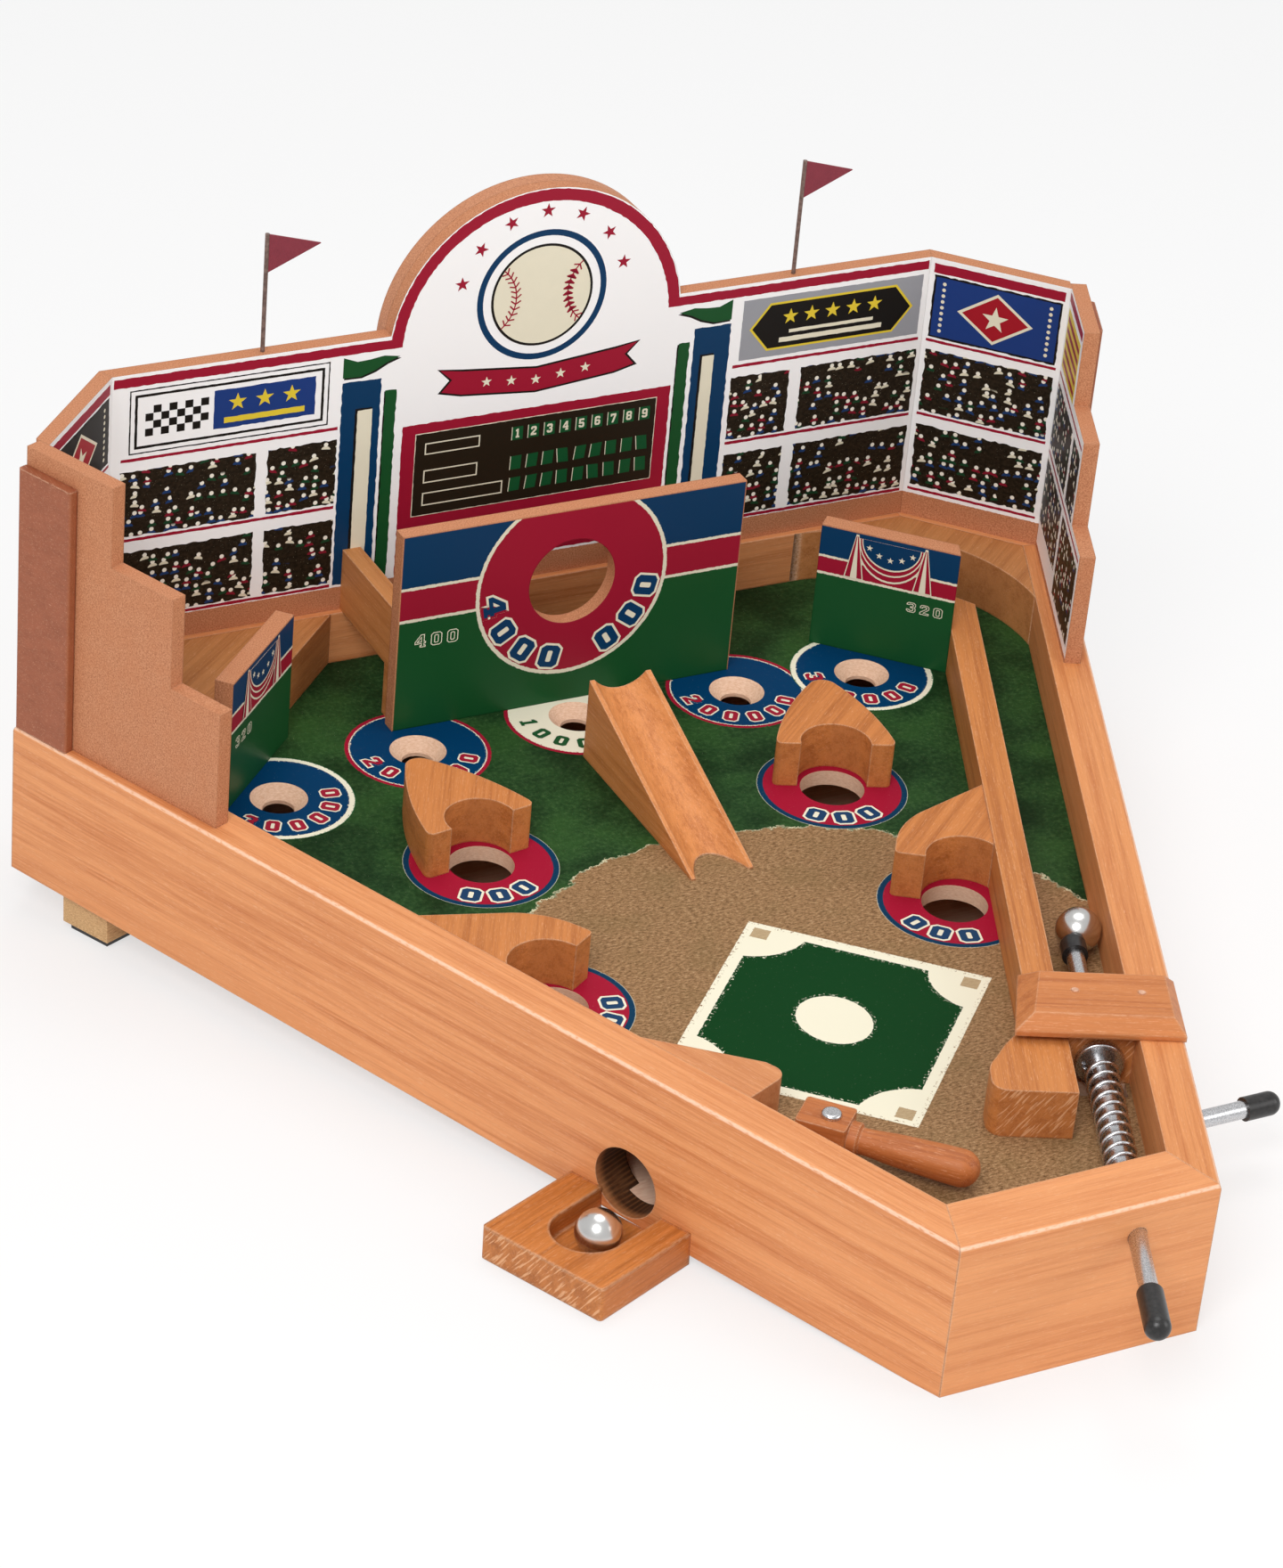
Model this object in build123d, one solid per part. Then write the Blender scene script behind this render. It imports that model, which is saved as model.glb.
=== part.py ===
from build123d import *
import math
import os

os.makedirs("parts", exist_ok=True)

# All sizes are millimetres.  The box is drawn with the rail tops at z = 0, the outer face
# of the front rail at y = 0 and its middle at x = 0, and is then tipped by the rake.
# The origin is the middle of the flat under the front rail on which the box rests.

# Box
FRONT_WIDTH = 95.0
FAN_ANGLE = 23.65
RAIL_HEIGHT = 58.6
SIDE_THICK = 15.5
FRONT_THICK = 22.0
BACK_THICK = 15.0
CORNER_THICK = 11.5
BACK_INNER_Y = 418.3
PANEL_ANGLE = 46.5
LEDGE = 2.8
EDGE_ROUND = 2.0
RAKE = 2.6
REST_PLANE_CUT = 0.5
REST_MID_Y = 5.5

# Fits
GROOVE_FIT = 0.1
SLOT_FIT = 0.05
RUN_FIT = 0.05
SEAT_FIT = 0.02
BALL_GAP = 0.3

# Deck and base
DECK_Z = -21.0
DECK_THICK = 6.0
DECK_TONGUE = 6.0
BASE_THICK = 2.5
BASE_LAP = 5.0
RETURN_THICK = 3.0
RETURN_TALL = 12.0
BALL_D = 16.0

# Stadium boards
BOARD_THICK = 6.0
BOARD_TOP = 110.0
BOARD_HALF = 164.9
SLOT_DEEP = 18.0
ARCH_R = 58.9
ARCH_Z = 101.5
WING_SET_IN = 4.4
WING_MID_TOP = 79.5
WING_LOW_TOP = 45.0
WING_S_LOW = 322.0
WING_S_MID = 345.5
WING_S_HIGH = 375.0
WING_S_END = 416.0
BATTEN_S = 391.0
BATTEN_Z0 = 2.0
BATTEN_Z1 = 103.0
BATTEN_THICK = 4.0
FLAG_X = 107.0
FLAG_TOP = 156.0
POLE_D = 1.6
POLE_SINK = 8.0
PENNANT_LONG = 20.0
PENNANT_TALL = 15.0
PENNANT_THICK = 0.8

# Playfield pieces
ART_X = -6.1
HIT_TOP_D = 20.7
HIT_THROUGH_D = 11.5
OUT_D = 23.5
HR_FRONT_Y = BACK_INNER_Y - 52.0
SINGLE_Y = HR_FRONT_Y - 12.3
DOUBLE_X = 65.0
DOUBLE_Y = HR_FRONT_Y - 15.0
TRIPLE_LEFT = (-131.0, BACK_INNER_Y - 80.3)
TRIPLE_RIGHT = (110.0, BACK_INNER_Y - 70.8)
OUT_UPPER_LEFT = (-81.2, BACK_INNER_Y - 143.3)
OUT_UPPER_RIGHT = (60.4, BACK_INNER_Y - 139.3)
OUT_LOWER_LEFT_Y = BACK_INNER_Y - 230.8
OUT_LOWER_RIGHT_Y = BACK_INNER_Y - 221.1
OUT_LOWER_LEFT_IN = 17.9
OUT_LOWER_RIGHT_IN = 13.1
TURN_UPPER_LEFT = 8.8
TURN_UPPER_RIGHT = -21.3
TURN_LOWER = 33.0
BUMPER_WIDE = 43.0
BUMPER_DEEP = 45.0
BUMPER_TALL = 18.0
BUMPER_TIP_R = 5.5
BUMPER_AHEAD = 1.0
NOTCH_R = 12.8
NOTCH_BACK = 2.0
SIDE_BUMPER_HALF = 23.0
SIDE_BUMPER_CHEEK = 8.0
SIDE_BUMPER_BEND = (15.8, 28.2)
SIDE_BUMPER_SLOPE = 49.5
SIDE_NOTCH_R = 14.2
HR_WIDE = 137.7
HR_TOP = 59.5
HR_THICK = 6.0
HR_HOLE_D = 34.5
HR_HOLE_Z = 29.5
BRACKET_THICK = 7.2
BRACKET_IN = 2.0
BRACKET_TOP = 25.0
BRACKET_LEG = 7.7
BUNT_X_IN = 107.0
BUNT_X_OUT = 145.6
BUNT_Y_IN = BACK_INNER_Y - 43.3
BUNT_Y_OUT = BACK_INNER_Y - 81.0
BUNT_CENTRE_X = -4.9
BUNT_TOP = 30.0
BUNT_THICK = 7.0
RAMP_X = -3.8
RAMP_WIDE = 24.5
RAMP_LONG = 87.0
RAMP_BACK_Y = HR_FRONT_Y - 38.3
RAMP_FRONT_Y = RAMP_BACK_Y - RAMP_LONG
RAMP_TALL = 32.0
RAMP_GROOVE_R = 14.0
RAMP_GROOVE_DEEP = 4.6
ARC_X = BOARD_HALF - 48.4
ARC_R = 65.7

# Launch lane, measured along (t) and across (n) the right rail
LANE_X = 18.0
DIVIDER_RIGHT_N = -11.6
DIVIDER_THICK = 11.3
DIVIDER_TALL = 18.5
DIVIDER_REAR_RIGHT_T = 379.0
DIVIDER_REAR_LEFT_T = 387.0
GUIDE_FRONT_T = 62.5
GUIDE_LEFT_N = -39.8
LEFT_GUIDE_T = 104.0
LEFT_GUIDE_N = 22.4
LEFT_GUIDE_REAR_T = 156.0
GUIDE_ROUND = 5.0
BRIDGE_T0 = 89.8
BRIDGE_T1 = 122.3
BRIDGE_END_N = -30.1
BRIDGE_END_LEAN = 4.5
BRIDGE_BAND = 2.0
BRIDGE_TALL = 7.0
BRIDGE_INSET = 4.2
BRIDGE_END_INSET = 6.4
NAIL_D = 2.4
NAIL_T = 107.6
NAIL_LEFT_N = -8.7
NAIL_RIGHT_N = 13.7
BLOCK_T0 = 95.0
BLOCK_T1 = 117.0
LANE_SLOT_T0 = 87.0

# Plunger
PLUNGER_Z = -12.2
ROD_D = 6.3
ROD_T0 = -45.0
ROD_T1 = 160.0
TIP_D = 9.0
TIP_T0 = 156.5
TIP_T1 = 165.2
COLLAR_D = 17.0
COLLAR_T0 = 91.9
COLLAR_T1 = 94.7
CAP_D = 8.6
CAP_T0 = -49.5
CAP_T1 = -28.5
SEAT_T = 20.0
SEAT_D = 13.4
SPRING_OD = 11.8
SPRING_WIRE = 1.5
SPRING_COILS = 12.5
BALL_LANE_T = 173.6

# Bat and lever
BAT_X = -47.3
BAT_Y = 83.0
BAT_REST = -45.9
BAT_BLOCK_LONG = 17.0
BAT_BLOCK_BACK = 1.7
BAT_BLOCK_WIDE = 14.0
BAT_BLOCK_TALL = 15.0
BAT_LIFT = 0.8
BAT_AXIS_H = 8.4
BAT_REACH = 50.4
BAT_KNOB_D = 11.4
BAT_NECK_D = 8.8
BAT_BARREL_D = 12.4
SPINDLE_D = 4.0
SCREW_HEAD_D = 6.8
SCREW_HEAD_TALL = 1.6
BAT_SWING = 66.0
LEVER_Y = 73.6
LEVER_Z = -36.0
LEVER_X0 = -56.0
LEVER_X1 = 118.0
LEVER_CAP_D = 8.4
LEVER_CAP_X0 = 108.6
LEVER_CAP_X1 = 122.4
PIN_D = 3.0
CRANK_THICK = 3.0
CRANK_HUB_D = 13.0
CRANK_ARM_WIDE = 9.0
CRANK_REACH = 15.0
CRANK_GAP = 0.4
LEVER_BLOCK_X0 = -16.0
LEVER_BLOCK_X1 = -4.0

# Exit and tray
EXIT_S = 130.2
EXIT_D = 25.4
EXIT_DROP = 1.4
TRAY_S0 = 101.5
TRAY_S1 = 152.5
TRAY_OUT = 44.5
TRAY_TOP = 12.5
TRAY_UNDER = 0.3
TRAY_FLOOR = 4.6
TRAY_POCKET_S = 126.5
TRAY_POCKET_R = 12.6
TRAY_POCKET_OUT = 22.0
TRAY_BALL_S = 123.0
TRAY_BALL_OUT = 21.0

# Rear feet
FOOT_S0 = 371.0
FOOT_S1 = 393.0
FOOT_IN = 3.0
FOOT_DEEP = 24.0
PAD_THICK = 3.0
PAD_INSET = 2.0

SF = math.sin(math.radians(FAN_ANGLE))
CF = math.cos(math.radians(FAN_ANGLE))
SP = math.sin(math.radians(PANEL_ANGLE))
CP = math.cos(math.radians(PANEL_ANGLE))
INNER_X = FRONT_WIDTH / 2 - SIDE_THICK / CF
RAIL_N = (INNER_X - LANE_X) * CF
BOARD_Y = BACK_INNER_Y + LEDGE
BASE_TOP = BASE_THICK - RAIL_HEIGHT
EXIT_Z = BASE_TOP + EXIT_D / 2 - EXIT_DROP
DIVIDER_TOP = DECK_Z + DIVIDER_TALL
DIVIDER_LEFT_N = DIVIDER_RIGHT_N - DIVIDER_THICK
ARC_Y = BACK_INNER_Y - ARC_R
FAR = 700.0


def place(shape):
    return Pos(0, -REST_MID_Y, -REST_PLANE_CUT) * Rot(RAKE, 0, 0) * Pos(0, 0, RAIL_HEIGHT) * shape


def cross_lines(n1, c1, n2, c2):
    det = n1[0] * n2[1] - n1[1] * n2[0]
    x = (c1 * n2[1] - c2 * n1[1]) / det
    y = (n1[0] * c2 - n2[0] * c1) / det
    return (x, y)


def outline(front, side, corner, back):
    """Six corners of the play space, each wall moved outward by its own offset."""
    corner_ref = SP * BOARD_HALF + CP * BOARD_Y - LEDGE
    normals = [(0, -1), (CF, -SF), (SP, CP), (0, 1), (-SP, CP), (-CF, -SF)]
    reach = [
        front - FRONT_THICK,
        INNER_X * CF + side,
        corner_ref + corner,
        BACK_INNER_Y + back,
        corner_ref + corner,
        INNER_X * CF + side,
    ]
    pts = []
    for i in range(6):
        j = (i + 1) % 6
        pts.append(cross_lines(normals[i], reach[i], normals[j], reach[j]))
    return pts


def prism(points, z0, z1):
    face = make_face(Polyline(*[(p[0], p[1]) for p in points], close=True))
    return Pos(0, 0, z0) * extrude(face, amount=z1 - z0, dir=(0, 0, 1))


def side_pt(s, depth, sgn):
    """A point along a side rail: s from the front outer corner, depth in from its outer face."""
    return (sgn * (FRONT_WIDTH / 2 + SF * s - CF * depth), CF * s + SF * depth)


def lane_pt(t, n):
    return (LANE_X + SF * t + CF * n, CF * t - SF * n)


def left_pt(t, n):
    return (-INNER_X - SF * t + CF * n, CF * t + SF * n)


def lower_hole_left():
    """Centre of the lower left out hole, a fixed way in from the left rail."""
    y = OUT_LOWER_LEFT_Y
    return (OUT_LOWER_LEFT_IN - INNER_X - SF / CF * y, y)


def lower_hole_right():
    """Centre of the lower right out hole, a fixed way from the lane divider."""
    y = OUT_LOWER_RIGHT_Y
    n = DIVIDER_LEFT_N - OUT_LOWER_RIGHT_IN
    return lane_pt((y + SF * n) / CF, n)


def lane_axis(t, n, z):
    x, y = lane_pt(t, n)
    return Plane(origin=(x, y, z), x_dir=(CF, -SF, 0), z_dir=(SF, CF, 0))


def lane_rod(t0, t1, n, z, dia):
    body = extrude(lane_axis(t0, n, z) * Circle(dia / 2), amount=t1 - t0)
    return body


def rail_segment(i, j):
    inner = outline(0, 0, 0, 0)
    outer = outline(FRONT_THICK, SIDE_THICK, CORNER_THICK, BACK_THICK)
    body = prism([inner[i], inner[j], outer[j], outer[i]], -RAIL_HEIGHT, 0)
    top = body.faces().sort_by(Axis.Z)[-1]
    mid_out = ((outer[i][0] + outer[j][0]) / 2, (outer[i][1] + outer[j][1]) / 2, 0)
    edge = top.edges().sort_by(lambda e: (e.center() - Vector(*mid_out)).length)[0]
    return fillet(edge, EDGE_ROUND)


def deck_blank(extra=0.0):
    d = DECK_TONGUE + extra
    return prism(outline(d, d, d, d), DECK_Z - DECK_THICK, DECK_Z)


def base_blank(extra=0.0):
    d = BASE_LAP + extra
    return prism(outline(d, d, d, d), -RAIL_HEIGHT, BASE_TOP)


def main_board_shape(fit=0.0):
    back_half = BOARD_HALF + BOARD_THICK * math.tan(math.radians(PANEL_ANGLE / 2))
    front_y = BOARD_Y - fit
    back_y = BOARD_Y + BOARD_THICK + fit
    pts = [(-BOARD_HALF, front_y), (BOARD_HALF, front_y), (back_half, back_y), (-back_half, back_y)]
    body = prism(pts, -SLOT_DEEP - fit, BOARD_TOP)
    if fit:
        return body
    return body + arch_sheet(BOARD_Y, BOARD_TOP - 5)


def arch_sheet(front_y, low_z):
    """The round-topped part of a board that starts at a given height."""
    disc = Pos(0, front_y + BOARD_THICK / 2, ARCH_Z) * Rot(90, 0, 0) * Cylinder(ARCH_R, BOARD_THICK)
    keep = Pos(0, front_y, ARCH_Z + ARCH_R) * Box(4 * ARCH_R, 4 * BOARD_THICK, 2 * ARCH_R)
    lift = low_z - ARCH_Z
    return (disc & Pos(0, 0, lift) * keep) if lift > 0 else disc & keep


def panel_shape(sgn, fit=0.0):
    """Angled panel between the main board and a wing."""
    wing_in = WING_SET_IN + BOARD_THICK
    line_n = (SP, CP)
    line_c = SP * BOARD_HALF + CP * BOARD_Y
    wing_c = FRONT_WIDTH / 2 * CF - wing_in
    f0 = (BOARD_HALF, BOARD_Y)
    grow = BOARD_THICK * math.tan(math.radians(PANEL_ANGLE / 2))
    b0 = (BOARD_HALF + grow, BOARD_Y + BOARD_THICK)
    f1 = cross_lines(line_n, line_c - fit, (CF, -SF), wing_c + fit)
    b1 = cross_lines(line_n, line_c + BOARD_THICK + fit, (CF, -SF), wing_c + fit)
    if fit:
        f0 = (f0[0], f0[1] - fit)
        b0 = (b0[0], b0[1] + fit)
    pts = [(sgn * p[0], p[1]) for p in (f0, f1, b1, b0)]
    return prism(pts, -SLOT_DEEP - fit, BOARD_TOP)


def wing_shape(sgn, fit=0.0):
    d0 = WING_SET_IN - fit
    d1 = WING_SET_IN + BOARD_THICK + fit
    end = WING_S_END + fit
    low = -SLOT_DEEP - fit
    body = None
    for s, top in ((WING_S_LOW, WING_LOW_TOP), (WING_S_MID, WING_MID_TOP), (WING_S_HIGH, BOARD_TOP)):
        pts = [side_pt(s - fit, d0, sgn), side_pt(end, d0, sgn), side_pt(end, d1, sgn), side_pt(s - fit, d1, sgn)]
        step = prism(pts, low, top)
        body = step if body is None else body + step
    return body


def stadium_slots():
    cuts = [main_board_shape(SLOT_FIT)]
    for sgn in (-1, 1):
        cuts.append(panel_shape(sgn, SLOT_FIT))
        cuts.append(wing_shape(sgn, SLOT_FIT))
    return cuts


def cut_all(body, cuts):
    for c in cuts:
        body = body - c
    return body


def rest_cut(body):
    """Placed rail with its lowest sliver planed off level with the table."""
    slab = Pos(0, 200, -10) * Box(900, 900, 20)
    return place(body) - slab


def front_rail():
    body = rail_segment(5, 0)
    body = body - deck_blank(GROOVE_FIT) - base_blank(GROOVE_FIT)
    body = body - lane_rod(-20, 60, 0, PLUNGER_Z, ROD_D + 2 * RUN_FIT)
    body = body - lane_rod(SEAT_T, 60, 0, PLUNGER_Z, SEAT_D)
    return rest_cut(body)


def right_rail():
    body = rail_segment(0, 1)
    body = body - deck_blank(GROOVE_FIT) - base_blank(GROOVE_FIT)
    body = cut_all(body, stadium_slots())
    bore = Pos(80, LEVER_Y, LEVER_Z) * Rot(0, 90, 0) * Cylinder(ROD_D / 2 + RUN_FIT, 90)
    body = body - bore
    body = body - lane_rod(SEAT_T, 60, 0, PLUNGER_Z, SEAT_D)
    return rest_cut(body)


def exit_bore():
    x, y = side_pt(EXIT_S, SIDE_THICK / 2, -1)
    plane = Plane(origin=(x, y, EXIT_Z), x_dir=(-SF, CF, 0), z_dir=(-CF, -SF, 0))
    return extrude(plane * Circle(EXIT_D / 2), amount=SIDE_THICK, both=True)


def left_rail():
    body = rail_segment(4, 5)
    body = body - deck_blank(GROOVE_FIT) - base_blank(GROOVE_FIT)
    body = cut_all(body, stadium_slots())
    return rest_cut(body - exit_bore())


def corner_rail(sgn):
    body = rail_segment(1, 2) if sgn > 0 else rail_segment(3, 4)
    body = body - deck_blank(GROOVE_FIT) - base_blank(GROOVE_FIT)
    return place(cut_all(body, stadium_slots()))


def back_rail():
    body = rail_segment(2, 3)
    body = body - deck_blank(GROOVE_FIT) - base_blank(GROOVE_FIT)
    return place(cut_all(body, stadium_slots()))


def cup(x, y):
    top_z = DECK_Z
    cone_deep = (HIT_TOP_D - HIT_THROUGH_D) / 2
    cone = Pos(x, y, top_z - cone_deep / 2) * Cone(HIT_THROUGH_D / 2, HIT_TOP_D / 2, cone_deep)
    return cone + Pos(x, y, top_z) * Cylinder(HIT_THROUGH_D / 2, 4 * DECK_THICK)


def out_hole(x, y):
    return Pos(x, y, DECK_Z) * Cylinder(OUT_D / 2, 4 * DECK_THICK)


def playfield():
    body = deck_blank()
    cups = [(ART_X, SINGLE_Y), (ART_X - DOUBLE_X, DOUBLE_Y), (ART_X + DOUBLE_X, DOUBLE_Y)]
    cups += [TRIPLE_LEFT, TRIPLE_RIGHT]
    for x, y in cups:
        body = body - cup(x, y)
    for x, y in (OUT_UPPER_LEFT, OUT_UPPER_RIGHT, lower_hole_left(), lower_hole_right()):
        body = body - out_hole(x, y)
    n0 = DIVIDER_RIGHT_N + 1.5
    n1 = RAIL_N - 1.5
    slot = [lane_pt(LANE_SLOT_T0, n0), lane_pt(BLOCK_T0, n0), lane_pt(BLOCK_T0, n1), lane_pt(LANE_SLOT_T0, n1)]
    body = body - prism(slot, DECK_Z - 20, DECK_Z + 5)
    body = body - Pos(BAT_X, BAT_Y, DECK_Z) * Cylinder(SPINDLE_D / 2 + RUN_FIT, 4 * DECK_THICK)
    return place(body)


def base_panel():
    return place(base_blank() - exit_bore())


def return_deflector():
    """Strip on the base that leads dropped balls to the exit hole."""
    left = side_pt(EXIT_S - EXIT_D / 2 - RETURN_THICK, SIDE_THICK, -1)
    right = side_pt(EXIT_S + 100, SIDE_THICK, 1)
    dx = right[0] - left[0]
    dy = right[1] - left[1]
    run = math.hypot(dx, dy)
    ux, uy = dx / run, dy / run
    far = (right[0] + 9 * ux, right[1] + 9 * uy)
    near = (left[0] - 9 * ux, left[1] - 9 * uy)
    pts = [near, far, (far[0] - uy * RETURN_THICK, far[1] + ux * RETURN_THICK)]
    pts.append((near[0] - uy * RETURN_THICK, near[1] + ux * RETURN_THICK))
    body = prism(pts, BASE_TOP, BASE_TOP + RETURN_TALL)
    return place(body & prism(outline(0, 0, 0, 0), -RAIL_HEIGHT, 0))


def main_board():
    return place(main_board_shape())


def arch_backing():
    """Second layer behind the arch, standing on the back rail."""
    y = BOARD_Y + BOARD_THICK
    leg = prism([(-ARCH_R, y), (ARCH_R, y), (ARCH_R, y + BOARD_THICK), (-ARCH_R, y + BOARD_THICK)], 0, ARCH_Z)
    return place(leg + arch_sheet(y, ARCH_Z))


def angled_panel(sgn):
    return place(panel_shape(sgn))


def wing(sgn):
    return place(wing_shape(sgn))


def batten(sgn):
    d0 = WING_SET_IN - BATTEN_THICK
    pts = [side_pt(BATTEN_S, d0, sgn), side_pt(WING_S_END, d0, sgn)]
    pts += [side_pt(WING_S_END, WING_SET_IN, sgn), side_pt(BATTEN_S, WING_SET_IN, sgn)]
    body = prism(pts, 0, BATTEN_Z1)
    return place(fillet(body.edges().filter_by(Axis.Z), 1.0))


def flag_pole(sgn):
    tall = FLAG_TOP - BOARD_TOP
    y = BOARD_Y + BOARD_THICK / 2
    return place(Pos(sgn * FLAG_X, y, BOARD_TOP + tall / 2) * Cylinder(POLE_D / 2, tall))


def pennant(sgn):
    x0 = sgn * FLAG_X + POLE_D / 2 - 0.2
    y = BOARD_Y + BOARD_THICK / 2
    face = make_face(
        Polyline(
            (x0, FLAG_TOP - 0.3),
            (x0 + PENNANT_LONG, FLAG_TOP - 0.42 * PENNANT_TALL),
            (x0, FLAG_TOP - PENNANT_TALL),
            close=True,
        )
    )
    cloth = Rot(90, 0, 0) * extrude(face, amount=PENNANT_THICK / 2, both=True)
    pole = Pos(sgn * FLAG_X, y, FLAG_TOP) * Cylinder(POLE_D / 2, 60)
    return place(Pos(0, y, 0) * cloth - pole)


def home_run_board():
    mid_z = (HR_TOP + DECK_Z) / 2
    y = HR_FRONT_Y + HR_THICK / 2
    board = Pos(ART_X, y, mid_z) * Box(HR_WIDE, HR_THICK, HR_TOP - DECK_Z)
    hole = Pos(ART_X, y, HR_HOLE_Z) * Rot(90, 0, 0) * Cylinder(HR_HOLE_D / 2, 3 * HR_THICK)
    return place(board - hole)


def bracket(sgn):
    edge = ART_X + sgn * (HR_WIDE / 2 - BRACKET_IN)
    x0 = min(edge, edge - sgn * BRACKET_THICK)
    y0 = HR_FRONT_Y + HR_THICK
    x1 = x0 + BRACKET_THICK
    arm = prism([(x0, y0), (x1, y0), (x1, BOARD_Y), (x0, BOARD_Y)], 0, BRACKET_TOP)
    leg = prism([(x0, y0), (x1, y0), (x1, y0 + BRACKET_LEG), (x0, y0 + BRACKET_LEG)], DECK_Z, 1)
    return place(arm + leg)


def bunting_line(sgn):
    p_in = (BUNT_CENTRE_X + sgn * BUNT_X_IN, BUNT_Y_IN)
    p_out = (BUNT_CENTRE_X + sgn * BUNT_X_OUT, BUNT_Y_OUT)
    run = math.hypot(p_out[0] - p_in[0], p_out[1] - p_in[1])
    ux = (p_out[0] - p_in[0]) / run
    uy = (p_out[1] - p_in[1]) / run
    back = (-uy * sgn, ux * sgn)
    return p_in, p_out, (ux, uy), back


def divider_side(extra=0.0):
    n = DIVIDER_LEFT_N - extra
    return prism([lane_pt(0, n), lane_pt(0, FAR), lane_pt(FAR, FAR), lane_pt(FAR, n)], -FAR, FAR)


def bunting_board(sgn):
    p_in, p_out, u, back = bunting_line(sgn)
    q_in = (p_in[0] + back[0] * BUNT_THICK, p_in[1] + back[1] * BUNT_THICK)
    q_out = (p_out[0] + back[0] * BUNT_THICK, p_out[1] + back[1] * BUNT_THICK)
    body = prism([p_in, p_out, q_out, q_in], DECK_Z, BUNT_TOP)
    if sgn > 0:
        body = body - divider_side()
    return place(body)


def left_filler():
    p_in, p_out, u, back = bunting_line(-1)
    q = (p_in[0] + back[0] * BUNT_THICK, p_in[1] + back[1] * BUNT_THICK)
    a = (q[0] - u[0] * FAR, q[1] - u[1] * FAR)
    b = (q[0] + u[0] * FAR, q[1] + u[1] * FAR)
    c = (b[0] + back[0] * FAR, b[1] + back[1] * FAR)
    d = (a[0] + back[0] * FAR, a[1] + back[1] * FAR)
    wedge = prism([a, b, c, d], DECK_Z, 0)
    return place(wedge & prism(outline(0, 0, 0, 0), DECK_Z, 0))


def right_filler():
    pts = outline(0, 0, 0, 0)
    inner = prism(pts, DECK_Z, 0)
    corner = prism([(ARC_X, ARC_Y), (ARC_X + 120, ARC_Y - 13), (ARC_X + 120, ARC_Y + 90), (ARC_X, ARC_Y + 90)], DECK_Z, 0)
    round_space = Pos(ARC_X, ARC_Y, DECK_Z / 2) * Cylinder(ARC_R, -DECK_Z)
    body = (inner & corner) - round_space
    return place(body.solids().sort_by(SortBy.VOLUME)[-1])


def ramp():
    run = RAMP_LONG
    face = make_face(Polyline((0, 0), (run, 0), (run, RAMP_TALL), (0, 0.6), close=True))
    wedge = extrude(Plane.YZ * face, amount=RAMP_WIDE / 2, both=True)
    wedge = Pos(RAMP_X, RAMP_FRONT_Y, DECK_Z) * wedge
    slope = math.degrees(math.atan2(RAMP_TALL, run))
    lift = (RAMP_GROOVE_R - RAMP_GROOVE_DEEP) / math.cos(math.radians(slope))
    tool = Rot(90 + slope, 0, 0) * Cylinder(RAMP_GROOVE_R, 4 * run)
    return place(wedge - Pos(RAMP_X, RAMP_FRONT_Y, DECK_Z + lift) * tool)


def bumper_blank():
    half = BUMPER_WIDE / 2
    shoulder = 3.0
    tip_y = BUMPER_DEEP - BUMPER_TIP_R
    tx = BUMPER_TIP_R * math.cos(math.radians(30))
    ty = tip_y + BUMPER_TIP_R * math.sin(math.radians(30))
    mx = (half + tx) / 2 + 1.9
    my = (shoulder + ty) / 2 + 0.8
    right = ThreePointArc((half, shoulder), (mx, my), (tx, ty))
    over = ThreePointArc((tx, ty), (0, BUMPER_DEEP), (-tx, ty))
    left = ThreePointArc((-tx, ty), (-mx, my), (-half, shoulder))
    base = Polyline((-half, shoulder), (-half, 0), (half, 0), (half, shoulder))
    face = make_face(Curve() + [right, over, left, base])
    body = extrude(face, amount=BUMPER_TALL, dir=(0, 0, 1))
    corners = body.edges().filter_by(Axis.Z).group_by(Axis.Y)[0]
    body = fillet(corners, 2.0)
    return body - Pos(0, NOTCH_BACK - BUMPER_AHEAD, 0) * Cylinder(NOTCH_R, 4 * BUMPER_TALL)


def side_bumper_blank():
    """Bumper that leans on a wall to its right: a cheek, a bend and a straight run to the wall."""
    bend_x, bend_y = SIDE_BUMPER_BEND
    cheek = (-SIDE_BUMPER_HALF, SIDE_BUMPER_CHEEK)
    bulge = (-(SIDE_BUMPER_HALF + bend_x) / 2 - 1.6, (SIDE_BUMPER_CHEEK + bend_y) / 2 + 0.6)
    wide = 3 * SIDE_BUMPER_HALF
    rise = (wide + bend_x) * math.tan(math.radians(SIDE_BUMPER_SLOPE))
    bend = ThreePointArc(cheek, bulge, (-bend_x, bend_y))
    run = Polyline((-bend_x, bend_y), (wide, bend_y + rise), (wide, 0), (-SIDE_BUMPER_HALF, 0), cheek)
    body = extrude(make_face(Curve() + [bend, run]), amount=BUMPER_TALL, dir=(0, 0, 1))
    corner = body.edges().filter_by(Axis.Z).sort_by(lambda e: e.center().X + e.center().Y)[0]
    body = fillet(corner, 2.0)
    return body - Pos(NOTCH_BACK, NOTCH_BACK, 0) * Cylinder(SIDE_NOTCH_R, 4 * BUMPER_TALL)


def set_bumper(hole, turn, blank):
    body = Pos(hole[0], hole[1], DECK_Z) * Rot(0, 0, turn) * blank
    body = body & prism(outline(0, 0, 0, 0), DECK_Z, DECK_Z + BUMPER_TALL)
    body = body - divider_side()
    return place(body.solids().sort_by(SortBy.VOLUME)[-1])


def bumper(hole, turn):
    return set_bumper(hole, turn, Pos(0, BUMPER_AHEAD, 0) * bumper_blank())


def side_bumper(hole, sgn):
    blank = side_bumper_blank()
    if sgn < 0:
        blank = mirror(blank, about=Plane.YZ)
    return set_bumper(hole, -sgn * TURN_LOWER, blank)


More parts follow.
